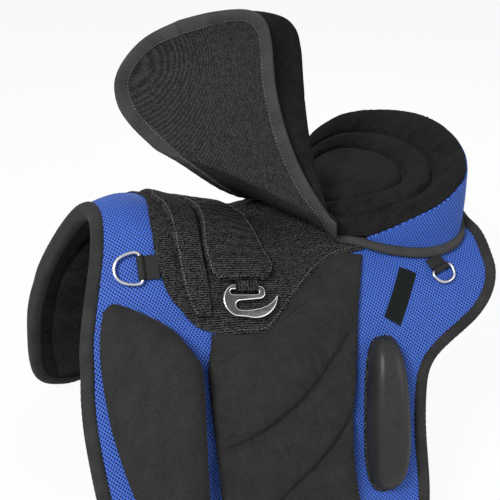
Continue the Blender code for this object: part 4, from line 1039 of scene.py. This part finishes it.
def hook_plate(name):
    """Pressed plate: dark brushed faces; its rounded edges take a lighter steel, a painted highlight."""
    outer = np.concatenate([arc(-12.5, -14, 18.0, 112, 250, 16), arc(3, -5.5, 28, 252, 351, 18),
                            [(29.7, -8.6), (25.5, -14.3), (18.3, -19.6), (9.2, -22.8), (-1.7, -24.6)],
                            arc(-12.5, -19.7, 5.0, 265, 95, 12), [(0, -13.8)],
                            arc(9.5, -5.6, 7.4, 280, 420, 12), [(4, 2.8), (-9, 2.9)]])
    slot_line = np.concatenate([arc(-19.5, -5.3, 2.7, 90, 270, 10), arc(7.0, -5.3, 2.7, 270, 450, 12)])
    curve = bpy.data.curves.new(name, "CURVE")
    curve.dimensions = "2D"
    curve.fill_mode = "BOTH"
    curve.extrude = PLATE_HALF
    curve.bevel_depth = PLATE_ROUND
    curve.bevel_resolution = 3
    curve.offset = -PLATE_ROUND
    for line in (eased(even(outer), 6), eased(even(slot_line), 1)):
        spline = curve.splines.new("POLY")
        spline.points.add(len(line) - 1)
        for point, (a, b) in zip(spline.points, line):
            point.co = (a, b, 0, 1)
        spline.use_cyclic_u = True
    holder = linked(name, curve)
    bpy.context.view_layer.update()
    raw = bpy.data.meshes.new_from_object(holder)
    with edited(raw) as bm:
        bmesh.ops.remove_doubles(bm, verts=bm.verts, dist=1e-3)
    points, faces = coords_of(raw).astype(float), [tuple(f.vertices) for f in raw.polygons]
    bpy.data.objects.remove(holder)
    bpy.data.meshes.remove(raw)
    obj = make(name, set_in(hook_frame, points), faces, GUNMETAL, angle=50)
    # Flat faces take the dark steel; the rounded edges take the lighter one, a painted highlight along them
    obj.data.materials.append(EDGE_HIGHLIGHT_STEEL)
    face_way = hook_frame[1][:, 2]
    for polygon in obj.data.polygons:
        polygon.material_index = 0 if abs(np.array(polygon.normal) @ face_way) > 0.985 else 1
    return obj


TAB_HOLE, TAB_WALL = WIRE + 0.45, 1.3
BAR_HEIGHT = LAYER_GAP + TAB_HOLE + TAB_WALL
front_frame, rear_frame = place(33.0, 95.0, BAR_HEIGHT, -105.0), place(357.0, 155.0, BAR_HEIGHT, 6.0)
hook_frame = place(137.0, 140.0 - 13.9, 7.4, 0.0)
for word, given, width, bow, reach in (("front", front_frame, WEB + 2 * WIRE + 4.4, 27.0, 0.003),
                                       ("rear", rear_frame, WEB_REAR + 2 * WIRE + 2.4, 17.0, 0.006)):
    hoop = wire_ring(word + "_hoop_l", given, width, bow)
    tab = carried(word + "_tab_l", word + "_ring_tab_left", given, WEBBING, reach=reach)
    for obj, side in both(hoop):
        settle(obj, word + "_ring_" + side + "_body", "steel_bright", word + "_ring_" + side)
    for obj, side in both(tab):
        settle(obj, ROOT, "webbing_black", word + "_ring_tab_" + side)
hook = hook_plate("hook_l")
keeper = carried("keeper_l", "hook_keeper_left", hook_frame, LOOP, wider=1.3, shift=-0.003)
for obj, side in both(hook):
    settle(obj, "stirrup_hook_" + side + "_body", "steel_bright", "stirrup_hook_" + side)
for obj, side in both(keeper):
    settle(obj, ROOT, "webbing_black", "hook_keeper_" + side)

# Seat: built closed, then bent open about the fold. The ground is the top of the loop fabric,
# read back as a height over even (x, y).
GROUND_X = np.linspace(-10, 450, 116)
GROUND_S = np.linspace(0, 320, 161)
GROUND_Y = np.linspace(0, 170, 171)
SEAT_LOW = LAYER_GAP * 2 + 1.5 + 1.0
shell = wrap(*np.meshgrid(GROUND_X, GROUND_S, indexing="ij"),
             np.full((len(GROUND_X), len(GROUND_S)), SEAT_LOW))
HEIGHTS = np.array([np.interp(GROUND_Y, -row[:, 1], row[:, 2]) for row in shell])


def ground(x, y):
    x, y = np.broadcast_arrays(np.asarray(x, float), np.abs(np.asarray(y, float)))
    i = np.clip((x - GROUND_X[0]) / (GROUND_X[1] - GROUND_X[0]), 0, len(GROUND_X) - 1.001)
    j = np.clip(y, 0, GROUND_Y[-1] - 0.01)
    i0, j0 = i.astype(int), j.astype(int)
    a, b = i - i0, j - j0
    return ((1 - a) * ((1 - b) * HEIGHTS[i0, j0] + b * HEIGHTS[i0, j0 + 1])
            + a * ((1 - b) * HEIGHTS[i0 + 1, j0] + b * HEIGHTS[i0 + 1, j0 + 1]))


def underside(x, y):
    """The seat's underside: on the ground at the rear, on its own curve at the front."""
    free = field(LEAF_Z, x) - field(LEAF_DROP, x) * np.asarray(y) ** 2
    low = ground(x, y)
    w = smooth((262 - x) / 70)
    return np.maximum(low, low * (1 - w) + free * w)


SIDE_POINTS = 78


def seat_outline(edge, flare, rise):
    """One side's foot and rim, from the front's middle round to the rear's."""
    rear = resample(FLANGE, SIDE_POINTS)
    low = wrap(rear[:, 0], rear[:, 1], np.full(len(rear), 3.0)) * [1, -1, 1]
    leaf = resample(edge, SIDE_POINTS)[1:][::-1]
    leaf = np.stack([leaf[:, 0], leaf[:, 1], underside(leaf[:, 0], leaf[:, 1])], -1)
    tip = np.sin(np.clip(leaf[:, 0] / 105, 0, 1) * np.pi / 2) ** 1.1
    swell = np.sin(np.clip((246 - leaf[:, 0]) / 150, 0, 1) * np.pi / 2) * tip
    high = leaf.copy()
    high[:, 0] += 9.0 * (1 - tip)
    high[:, 1] *= 1 + flare * swell / 85
    high[:, 2] += 13.0 + rise * np.clip((230 - leaf[:, 0]) / 100, 0, 1) * tip
    return np.concatenate([leaf, low]), np.concatenate([high, resample(RIM, SIDE_POINTS)])


def joined_sides(near, far):
    return np.concatenate([near * [1, -1, 1], far[-2:0:-1]])


near_foot, near_rim = seat_outline(NEAR_LEAF, 40.0, 30.0)
far_foot, far_rim = seat_outline(FAR_LEAF, -6.0, 5.0)
foot, rim = joined_sides(near_foot, far_foot), joined_sides(near_rim, far_rim)

# Each point of the outline has a hub on the spine, no nearer the ends than HUB_FRONT and HUB_REAR
HUB_FRONT, HUB_REAR, HUB_EASE = 62.0, 322, 45
hub_half = (near_foot[:, 0] + far_foot[:, 0]) / 2
hub_half = HUB_REAR - HUB_EASE * np.log1p(np.exp((HUB_REAR - hub_half) / HUB_EASE))
hub_half = np.maximum(hub_half, HUB_FRONT)
hub_x = np.concatenate([hub_half, hub_half[-2:0:-1]])
hub = np.stack([hub_x, np.zeros(len(foot)), field(TOP_Z, hub_x)], -1)
rim_reach = np.hypot(rim[:, 0] - hub_x, rim[:, 1])
leaf_side = np.clip((262 - foot[:, 0]) / 30, 0, 1)
side_in = (BAND + 0.6) * np.clip((foot[:, 0] - 272) / 14, 0, 1)


def inner_ring(r, height):
    """The foot drawn in to share r of its way from the hubs, above the underside."""
    x, y = hub_x + (foot[:, 0] - hub_x) * r, foot[:, 1] * r
    return np.stack([x, y, underside(x, y) + height], -1)


def foot_ring(inset, height):
    """The foot drawn in by a distance."""
    return inner_ring(1 - inset / np.maximum(np.hypot(foot[:, 0] - hub_x, foot[:, 1]), 1.0), height)


def toward(points, distance):
    """Points moved from the rim's side towards the hubs."""
    share = distance / np.maximum(rim_reach, 1.0)
    out = points.copy()
    out[:, 0] -= (rim[:, 0] - hub_x) * share
    out[:, 1] -= rim[:, 1] * share
    return out


def wall(share, inset):
    """Ring at a share of the height of the seat's side."""
    low = foot_ring(1.0 + inset, 9.1)
    high = toward(rim - [0, 0, 1.5], inset)
    high[:, 2] = np.maximum(high[:, 2], low[:, 2] + 1.5)
    return low + (high - low) * share


def top_ring(r):
    """Ring at share r from the hubs to the rim: a dish at the rear, flatter at the front."""
    out = hub + (rim - hub) * r
    leaf = 1 - np.clip((foot[:, 0] - 235) / 30, 0, 1)
    rise = np.abs(r) ** 2.2 * (1 - leaf) + (r ** 2.6) * leaf
    out[:, 2] = hub[:, 2] + (rim[:, 2] - hub[:, 2]) * rise
    return out


def crowned(r):
    """Height that the sewn seat top adds at share r: rolls between two grooves."""
    outer, inner_at = GROOVES
    groove = sum(np.exp(-np.abs((r - g) / 0.021) ** 1.6) for g in GROOVES)
    if r > outer:
        roll_up = 3.2 * math.sin(math.pi * min(1, (r - outer) / 0.30)) ** 0.8
    elif r > inner_at:
        roll_up = 3.6 * math.sin(math.pi * (r - inner_at) / (outer - inner_at)) ** 0.8
    else:
        roll_up = 2.8 * math.cos(math.pi / 2 * r / inner_at) ** 0.5
    return roll_up - 4.8 * groove


TAPE_LAP = 6.5
LOOSE = 0.3


def seat_rings():
    """The cushion's rings, from the middle of its underside to that of its top, and how each is held."""
    out = [inner_ring(r, SEAT_LINER + LAYER_GAP) for r in (0.0, 0.2, 0.4, 0.6, 0.8, 0.95)]
    out += [foot_ring(TAPE_LAP, SEAT_LINER + LAYER_GAP), foot_ring(TAPE_LAP, 7.0 + LAYER_GAP * 2)]
    held_rows = [1.0] * len(out)
    for share in np.linspace(0, 1, 9):
        swell = 2.7 * math.sin(math.pi * min(share, 1)) ** 0.6 * leaf_side
        out.append(wall(share, side_in - swell))
        held_rows.append(1.0 if share == 0 else LOOSE)
    edge, lip = out[-1], toward(rim + [0, 0, 1.5], 5.0)
    for t in (0.25, 0.5, 0.75):
        out.append((1 - t) ** 2 * edge + 2 * t * (1 - t) * toward(rim + [0, 0, 2.2], 1.0) + t * t * lip)
    out.append(lip)
    held_rows += [LOOSE] * 4
    seat_share = np.clip((foot[:, 0] - 236) / 30, 0, 1)
    near_groove = np.array([-0.05, -0.035, -0.022, -0.011, 0, 0.011, 0.022, 0.035, 0.05])
    radii = np.concatenate([np.linspace(0.88, 0, 34)] + [g + near_groove for g in GROOVES])
    for r in np.unique(np.round(radii, 3))[::-1]:
        row = top_ring(r)
        row[:, 2] += crowned(r) * seat_share
        out.append(row)
        near = min(abs(r - g) for g in GROOVES)
        held_rows.append(math.exp(-(near / 0.03) ** 2))
    return out, held_rows


def welded(obj, held=None):
    """Merges the doubled points where rings meet the spine; keeps the point weights."""
    mesh = obj.data
    attribute = mesh.attributes.new("hold", "FLOAT", "POINT")
    if held is not None:
        attribute.data.foreach_set("value", np.asarray(held, np.float32))
    with edited(mesh) as bm:
        bmesh.ops.remove_doubles(bm, verts=bm.verts, dist=2e-5)
        bmesh.ops.dissolve_degenerate(bm, edges=bm.edges, dist=1e-5)
        bmesh.ops.recalc_face_normals(bm, faces=bm.faces)
    out = np.zeros(len(mesh.vertices), np.float32)
    mesh.attributes["hold"].data.foreach_get("value", out)
    mesh.attributes.remove(mesh.attributes["hold"])
    return out.astype(float)


# The fold: a wedge between the plane of the rear and the plane of the front, both upright
fold_a, fold_b = np.array(FOLD_A), np.array(FOLD_B)
fold_axis = (fold_b - fold_a) / np.linalg.norm(fold_b - fold_a)
fold_normal = np.cross(fold_axis, [0, 0, 1.0])
fold_normal *= -np.sign(fold_normal[0]) / np.linalg.norm(fold_normal)
rear_normal = np.array([fold_a[1] - FOLD_REAR[1], FOLD_REAR[0] - fold_a[0], 0.0])
rear_normal /= -np.linalg.norm(rear_normal)


def turned(points, angle):
    """Points turned about the fold, each by its own angle in radians."""
    p = points - fold_a
    c, s = np.cos(angle)[:, None], np.sin(angle)[:, None]
    return fold_a + p * c + np.cross(fold_axis, p) * s + fold_axis * (p @ fold_axis)[:, None] * (1 - c)


def opened(points):
    """Closed seat points in the lifted state, the strip at the fold bending between."""
    p = np.asarray(points, float)
    angle = math.radians(OPEN_ANGLE)
    a, b = (p - fold_a) @ rear_normal, (p - fold_a) @ fold_normal
    dr, df = np.maximum(FOLD_SLIT - a, 0), np.maximum(FOLD_SLIT - b, 0)
    both_in = dr + df
    share = np.where(both_in > 1e-6, dr / np.maximum(both_in, 1e-6), np.where(a > b, 0.0, 1.0))
    apex = np.linalg.solve(np.stack([rear_normal[:2], fold_normal[:2]]),
                           FOLD_SLIT + np.array([fold_a @ rear_normal, fold_a @ fold_normal]))
    reach = np.linalg.norm(p[:, :2] - apex, axis=1)
    ends_at = []
    for n in (rear_normal, fold_normal):
        run = np.array([-n[1], n[0]])
        run = run if run[1] > 0 else -run
        ends_at.append(np.concatenate([apex + run * reach[:, None], p[:, 2:]], 1))
    inside = (share > 0) & (share < 1)
    start = np.where(inside[:, None], ends_at[0], p)
    end = np.where(inside[:, None], ends_at[1], p)
    straight = start * (1 - share)[:, None] + turned(end, np.full(len(p), angle)) * share[:, None]
    arced = turned(start * (1 - share)[:, None] + end * share[:, None], angle * share)
    return straight + (arced - straight) * FOLD_ARC


def datum(mesh):
    return coords_of(mesh).astype(float) * 1000 + [ORIGIN_X, 0, -FLAP_DROP]


def open_out(obj):
    """Lifts a closed seat piece, with finer faces along the fold first."""
    co = datum(obj.data)
    near = ((co - fold_a) @ rear_normal < FOLD_SLIT + 5) & ((co - fold_a) @ fold_normal < FOLD_SLIT + 5)
    with edited(obj.data) as bm:
        bm.verts.ensure_lookup_table()
        edges = [e for e in bm.edges if near[e.verts[0].index] and near[e.verts[1].index]]
        bmesh.ops.subdivide_edges(bm, edges=edges, cuts=1, use_grid_fill=True)
        bmesh.ops.triangulate(bm, faces=[f for f in bm.faces if len(f.verts) > 4])
    obj.data.polygons.foreach_set("use_smooth", [True] * len(obj.data.polygons))
    move_to(obj.data, metres(opened(datum(obj.data))))


rings, held_rows = seat_rings()
points, faces = ringed(rings)
seat = make("seat_cushion", points, faces, SEATING, angle=75)
puff(seat, welded(seat, np.repeat(held_rows, len(foot))), 3.0, 0.003, 0.01)

inflate()

# Liner, waved at the front's near edge, where the photograph shows it gathered
IN_SHARES = np.linspace(0, 0.95, 16)
rings = [inner_ring(r, 0.0) for r in IN_SHARES] + [foot_ring(TAPE_LAP, 0.0), foot_ring(TAPE_LAP, SEAT_LINER)]
rings += [inner_ring(r, SEAT_LINER) for r in IN_SHARES[::-1]]
for k in range(16):
    leaf_at = smooth((240 - rings[k][:, 0]) / 25)
    rings[k][:, 2] += 0.5 * ripple(rings[k], 16, 9.0) * leaf_at
    edge_at = bell(1 - k / 16.0, 0.30) * smooth((-rings[k][:, 1] - 5) / 20) * leaf_at
    waved = rings[k][:, 0] / 11.0 * 2 * np.pi + 2.5 * ripple(rings[k], 30, 4.0)
    rings[k][:, 2] += 0.9 * edge_at * np.sin(waved)
points, faces = ringed(rings)
liner = make("seat_liner", points, faces, LINER, angle=75)
welded(liner)

# Tape round the seat's foot, wider and gathered at the front
t_round = np.linspace(0, 2 * np.pi, 22, endpoint=False)
leaf_tape = smooth((250 - foot[:, 0]) / 40)
round_in, round_up = squared(t_round, 0.7, 0.7)
foot_len = np.concatenate([[0], np.cumsum(np.linalg.norm(np.diff(foot, axis=0), axis=1))])
swells = 1 + (0.03 + 0.05 * leaf_tape) * np.sin(foot_len / 7.0 * 2 * np.pi + 2.5 * np.sin(foot_len / 33))
gather = 0.9 * leaf_tape * np.sin(foot_len / 17.0 + 2.0 * np.sin(foot_len / 29))
rings = []
for a_in, h in zip(round_in, round_up):
    inset = (1.3 + 2.65 * leaf_tape) - a_in * (4.9 + 3.15 * leaf_tape) + gather * (a_in < 0)
    tall = (3.9 - 0.9 * leaf_tape) + h * (4.1 + 1.0 * leaf_tape) * swells
    rings.append(foot_ring(inset, tall))
points, faces = ringed(np.stack(rings, 1), True)
uv = np.stack(np.broadcast_arrays(foot_len[:, None], t_round[None] * 4.5), -1)
tape = make("seat_tape", points, faces, SEAT_TAPE, uv, angle=75)

# The fold's middle, and a direction across the fold leaning upwards
fold_mid = metres((fold_a + fold_b) / 2)[0]
lean = fold_normal + np.array([0, 0, 1.0])
lean -= fold_axis * (lean @ fold_axis)
lean /= np.linalg.norm(lean)


def bends_at_fold(obj):
    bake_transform(obj)


for obj, slot, nodes in ((seat, "suede_black", ("seat_rear_cushion", "seat_front_cushion", "seat_fold")),
                         (liner, "loop_black", ("seat_rear_liner", "seat_front_liner")),
                         (tape, "binding_black", ("seat_rear_binding", "seat_front_binding"))):
    open_out(obj)
    bends_at_fold(obj)
    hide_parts(*nodes)

# Side band, over the raised rear's wall
keep = np.where(foot[:, 0] > 288)[0]
lower, upper = [], []
for share in np.linspace(0, 1, 13):
    belly = 0.9 * math.sin(math.pi * share)
    lower.append(wall(share, BAND)[keep])
    upper.append(wall(share, 0.4 - belly)[keep])
lower, upper = np.array(lower), np.array(upper)
points, faces = slab(lower, upper)
run = np.concatenate([[0], np.cumsum(np.linalg.norm(np.diff(upper[6], axis=0), axis=1))])
tall = np.cumsum(np.concatenate([[np.zeros(len(keep))], np.linalg.norm(np.diff(upper, axis=0), axis=2)]), 0)
uv = np.stack([np.broadcast_to(run[None], tall.shape), tall], -1).reshape(-1, 2)
settle(make("side_band", points, faces, MESH, np.concatenate([uv, uv])), ROOT, "mesh_blue", "seat_side_band")

for left_piece, slot, fill in PAIRS:
    for obj, side in both(left_piece):
        settle(obj, ROOT, slot, left_piece.name[:-2] + "_" + side, fill=fill)


# Stitches: short raised threads set along lines by one node setup
def stitch_setup():
    tree = bpy.data.node_groups.new("stitches", "GeometryNodeTree")
    for label, kind, value in (("Geometry", "Geometry", None), ("Pitch", "Float", 0.004),
                               ("Length", "Float", 0.0028), ("Thickness", "Float", 0.0007),
                               ("Material", "Material", None)):
        socket = tree.interface.new_socket(label, in_out="INPUT", socket_type="NodeSocket" + kind)
        if value is not None:
            socket.default_value = value
    tree.interface.new_socket("Geometry", in_out="OUTPUT", socket_type="NodeSocketGeometry")
    given = tree.nodes.new("NodeGroupInput").outputs
    made = tree.nodes.new("NodeGroupOutput").inputs

    def step(kind, inputs=(), **settings):
        return put(tree, kind, inputs, **settings).outputs[0]

    curve = step("GeometryNodeMeshToCurve", {"Mesh": given["Geometry"]})
    spots = step("GeometryNodeResampleCurve", {"Curve": curve, "Length": given["Pitch"]}, mode="LENGTH")
    size = step("ShaderNodeCombineXYZ", {0: given["Thickness"], 1: given["Thickness"], 2: given["Length"]})
    ball = step("GeometryNodeMeshUVSphere", {"Segments": 6, "Rings": 5, "Radius": 0.5})
    thread = step("GeometryNodeTransform", {"Geometry": ball, "Scale": size})
    aim = step("FunctionNodeAlignRotationToVector", {"Vector": step("GeometryNodeInputTangent")}, axis="Z")
    set_on = step("GeometryNodeInstanceOnPoints", {"Points": spots, "Instance": thread, "Rotation": aim})
    solid = step("GeometryNodeSetShadeSmooth", {0: step("GeometryNodeRealizeInstances", {0: set_on})})
    coloured = step("GeometryNodeSetMaterial", {"Geometry": solid, "Material": given["Material"]})
    tree.links.new(coloured, made["Geometry"])
    return tree


STITCHES = stitch_setup()


def stitches(name, lines, mat, pitch=4.0, length=2.9, thickness=0.75, hinge=False):
    """Threads along open lines of datum points; hinge lines get their transform baked instead of being
    attached to the saddle.
    """
    verts, edges = [], []
    for line in lines:
        base = len(verts)
        verts += metres(line).tolist()
        edges += [(base + k, base + k + 1) for k in range(len(line) - 1)]
    mesh = bpy.data.meshes.new(name + "_lines")
    mesh.from_pydata(verts, edges, [])
    holder = linked(name + "_lines", mesh)
    mod = holder.modifiers.new("stitches", "NODES")
    mod.node_group = STITCHES
    value = {"Pitch": pitch / 1000, "Length": length / 1000, "Thickness": thickness / 1000, "Material": mat}
    for item in STITCHES.interface.items_tree:
        if item.in_out == "INPUT" and item.name in value:
            mod[item.identifier] = value[item.name]
    holder.update_tag()
    bpy.context.view_layer.update()
    done = bpy.data.meshes.new_from_object(holder.evaluated_get(bpy.context.evaluated_depsgraph_get()))
    done.name = name
    if not done.materials:
        done.materials.append(mat)
    obj = linked(name, done)
    bpy.data.objects.remove(holder)
    if hinge:
        bends_at_fold(obj)
    else:
        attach(obj, ROOT)


def on_pattern(line, height):
    """A pattern line laid at a height, as datum points."""
    t = np.array(line, float)
    return wrap(t[:, 0], t[:, 1], np.broadcast_to(np.asarray(height, float), len(t)))


def twice(lines):
    return lines + [np.array(line) * [1, -1, 1] for line in lines]


def closed_line(line):
    return np.concatenate([line, line[:1]])


def along_edge(table, inset, s):
    """Pattern line beside a band's long edge."""
    return np.stack([field(table, np.abs(s)) + inset, s], -1)


s_run = np.arange(-150.0, 151.0, 3.0)
band_top = BAND_LOW + step_up(np.abs(s_run)) + STRAP + 1.9
pommel_lines = [on_pattern(along_edge(table, inset, s_run), band_top)
                for table, inset in ((POMMEL_FRONT, 2.2), (POMMEL_REAR, -2.2))]
pommel_foot = on_pattern([(x, 150.5) for x in np.linspace(77, 90, 8)], BAND_LOW + 0.9 + STRAP + 1.8)
stitches("pommel_front_stitch", pommel_lines[:1], THREAD)
stitches("pommel_rear_stitch", pommel_lines[1:] + twice([pommel_foot]), DARK_THREAD)
s_run = np.arange(-112.0, 112.1, 3.0)
strap_top = BAND_LOW + smooth((np.abs(s_run) - 82) / 16) * STRAP_HUMP + STRAP + 2.4
sides = [on_pattern(along_edge(table, inset, s_run), strap_top)
         for table, inset in ((STRAP_FRONT, 1.6), (STRAP_REAR, -1.2))]
strap_foot = on_pattern([(x, 114.6) for x in np.linspace(109, 147, 16)], BAND_LOW + STRAP_HUMP + STRAP + 2.6)
# Grey thread along both strap edges: stitching whose light colour paints the highlight along the strap's
# edges
stitches("strap_stitch", sides + twice([strap_foot]), THREAD)
lower_edge = resample([(x, s - 2.6) for x, s in LOOP_FOOT[1:]], 60)
stitches("loop_stitch", twice([on_pattern(lower_edge, LAYER_GAP + 0.9 + 1.75)]), THREAD,
         length=2.5)
loop_c = [on_label(a, b) for a, b in ((0.08, 0.03), (0.92, 0.03), (0.92, 0.97), (0.08, 0.97), (0.08, 0.03))]
label_line = np.concatenate([np.linspace(loop_c[i], loop_c[i + 1], 20) for i in range(4)])
stitches("label_stitch", [on_pattern(label_line, LAYER_GAP + 1.35)], DARK_THREAD,
         pitch=2.6, length=1.9, thickness=0.45)
bound = path + way * 2.3
stitches("binding_stitch", [closed_line(on_pattern(bound, 0.9))], DARK_THREAD, thickness=0.8)
channel_lines = []
for line in CHANNELS:
    pts = resample(line, 70)
    nearest = ((leg.reshape(-1, 1, 2) - pts[None]) ** 2).sum(-1).argmin(0)
    channel_lines.append(on_pattern(pts, leg_high.ravel()[nearest] + 0.3))
stitches("channel_stitch", twice(channel_lines), DARK_THREAD, pitch=3.6, length=2.8,
         thickness=1.1)
for r, name in zip(GROOVES, ("outer", "inner")):
    line = top_ring(r)[foot[:, 0] > 262] + [0, 0, crowned(r) + 0.35]
    stitches("seat_" + name + "_stitch", [line], DARK_THREAD, pitch=3.6, length=2.7,
             thickness=0.8)
tape_in = opened(foot_ring(5.6 + 4.2 * leaf_tape, -0.25 - 1.4 * leaf_tape))
stitches("seat_tape_stitch", [closed_line(tape_in)], THREAD, pitch=3.8,
         length=2.6, thickness=0.6, hinge=True)

# Studio
FLOOR_HALF, FLOOR_Z = 40, -0.0005
FLOOR_GLOW = 0.92
WORLD_LIGHT = 0.23
LIT_POINT = Vector((0, 0, 0.25))


def seen_rays(tree):
    """1 for rays that show the background: to the camera, and off or through gloss and glass."""
    rays = put(tree, "ShaderNodeLightPath").outputs
    return maths("MAXIMUM", rays["Is Camera Ray"],
                 maths("MAXIMUM", rays["Is Glossy Ray"], rays["Is Transmission Ray"]))


floor_mesh = bpy.data.meshes.new("floor")
floor_corners = [(x * FLOOR_HALF, y * FLOOR_HALF, FLOOR_Z) for x, y in ((-1, -1), (1, -1), (1, 1), (-1, 1))]
floor_mesh.from_pydata(floor_corners, [], [(0, 1, 2, 3)])
linked("floor", floor_mesh)
mat = bpy.data.materials.new("floor_white")
mat.use_nodes = True
tree = mat.node_tree
shade = tree.nodes["Principled BSDF"]
shade.inputs["Base Color"].default_value = (0.95, 0.95, 0.95, 1)
shade.inputs["Roughness"].default_value = 0.9
glow = put(tree, "ShaderNodeEmission", {"Color": (1, 1, 1, 1), "Strength": 1.0})
both_shades = put(tree, "ShaderNodeMixShader",
                  {0: times(seen_rays(tree), FLOOR_GLOW), 1: shade.outputs[0], 2: glow.outputs[0]})
tree.links.new(both_shades.outputs[0], tree.nodes["Material Output"].inputs["Surface"])
floor_mesh.materials.append(mat)

world = bpy.data.worlds.new("studio")
SCENE.world = world
world.use_nodes = True
sky = world.node_tree.nodes["Background"].inputs
strength = put(world.node_tree, "ShaderNodeMapRange",
               {0: seen_rays(world.node_tree), 1: 0.0, 2: 1.0, 3: WORLD_LIGHT, 4: 1.0}).outputs[0]
sky[0].default_value = (1, 1, 1, 1)
world.node_tree.links.new(strength, sky[1])


def softbox(name, at, side, power):
    data = bpy.data.lights.new(name, "AREA")
    data.shape = "RECTANGLE"
    data.size = data.size_y = side
    data.energy = power
    lamp = linked(name, data)
    lamp.location = at
    lamp.rotation_mode = "QUATERNION"
    lamp.rotation_quaternion = (Vector(at) - LIT_POINT).to_track_quat("Z", "Y")


softbox("key", (-1.35, -0.9, 1.6), 0.7, 42)
softbox("fill", (1.3, -1.6, 1.0), 1.0, 12)
softbox("rim", (0.9, 1.3, 1.6), 1.0, 14)

SCENE.view_settings.view_transform = "Standard"
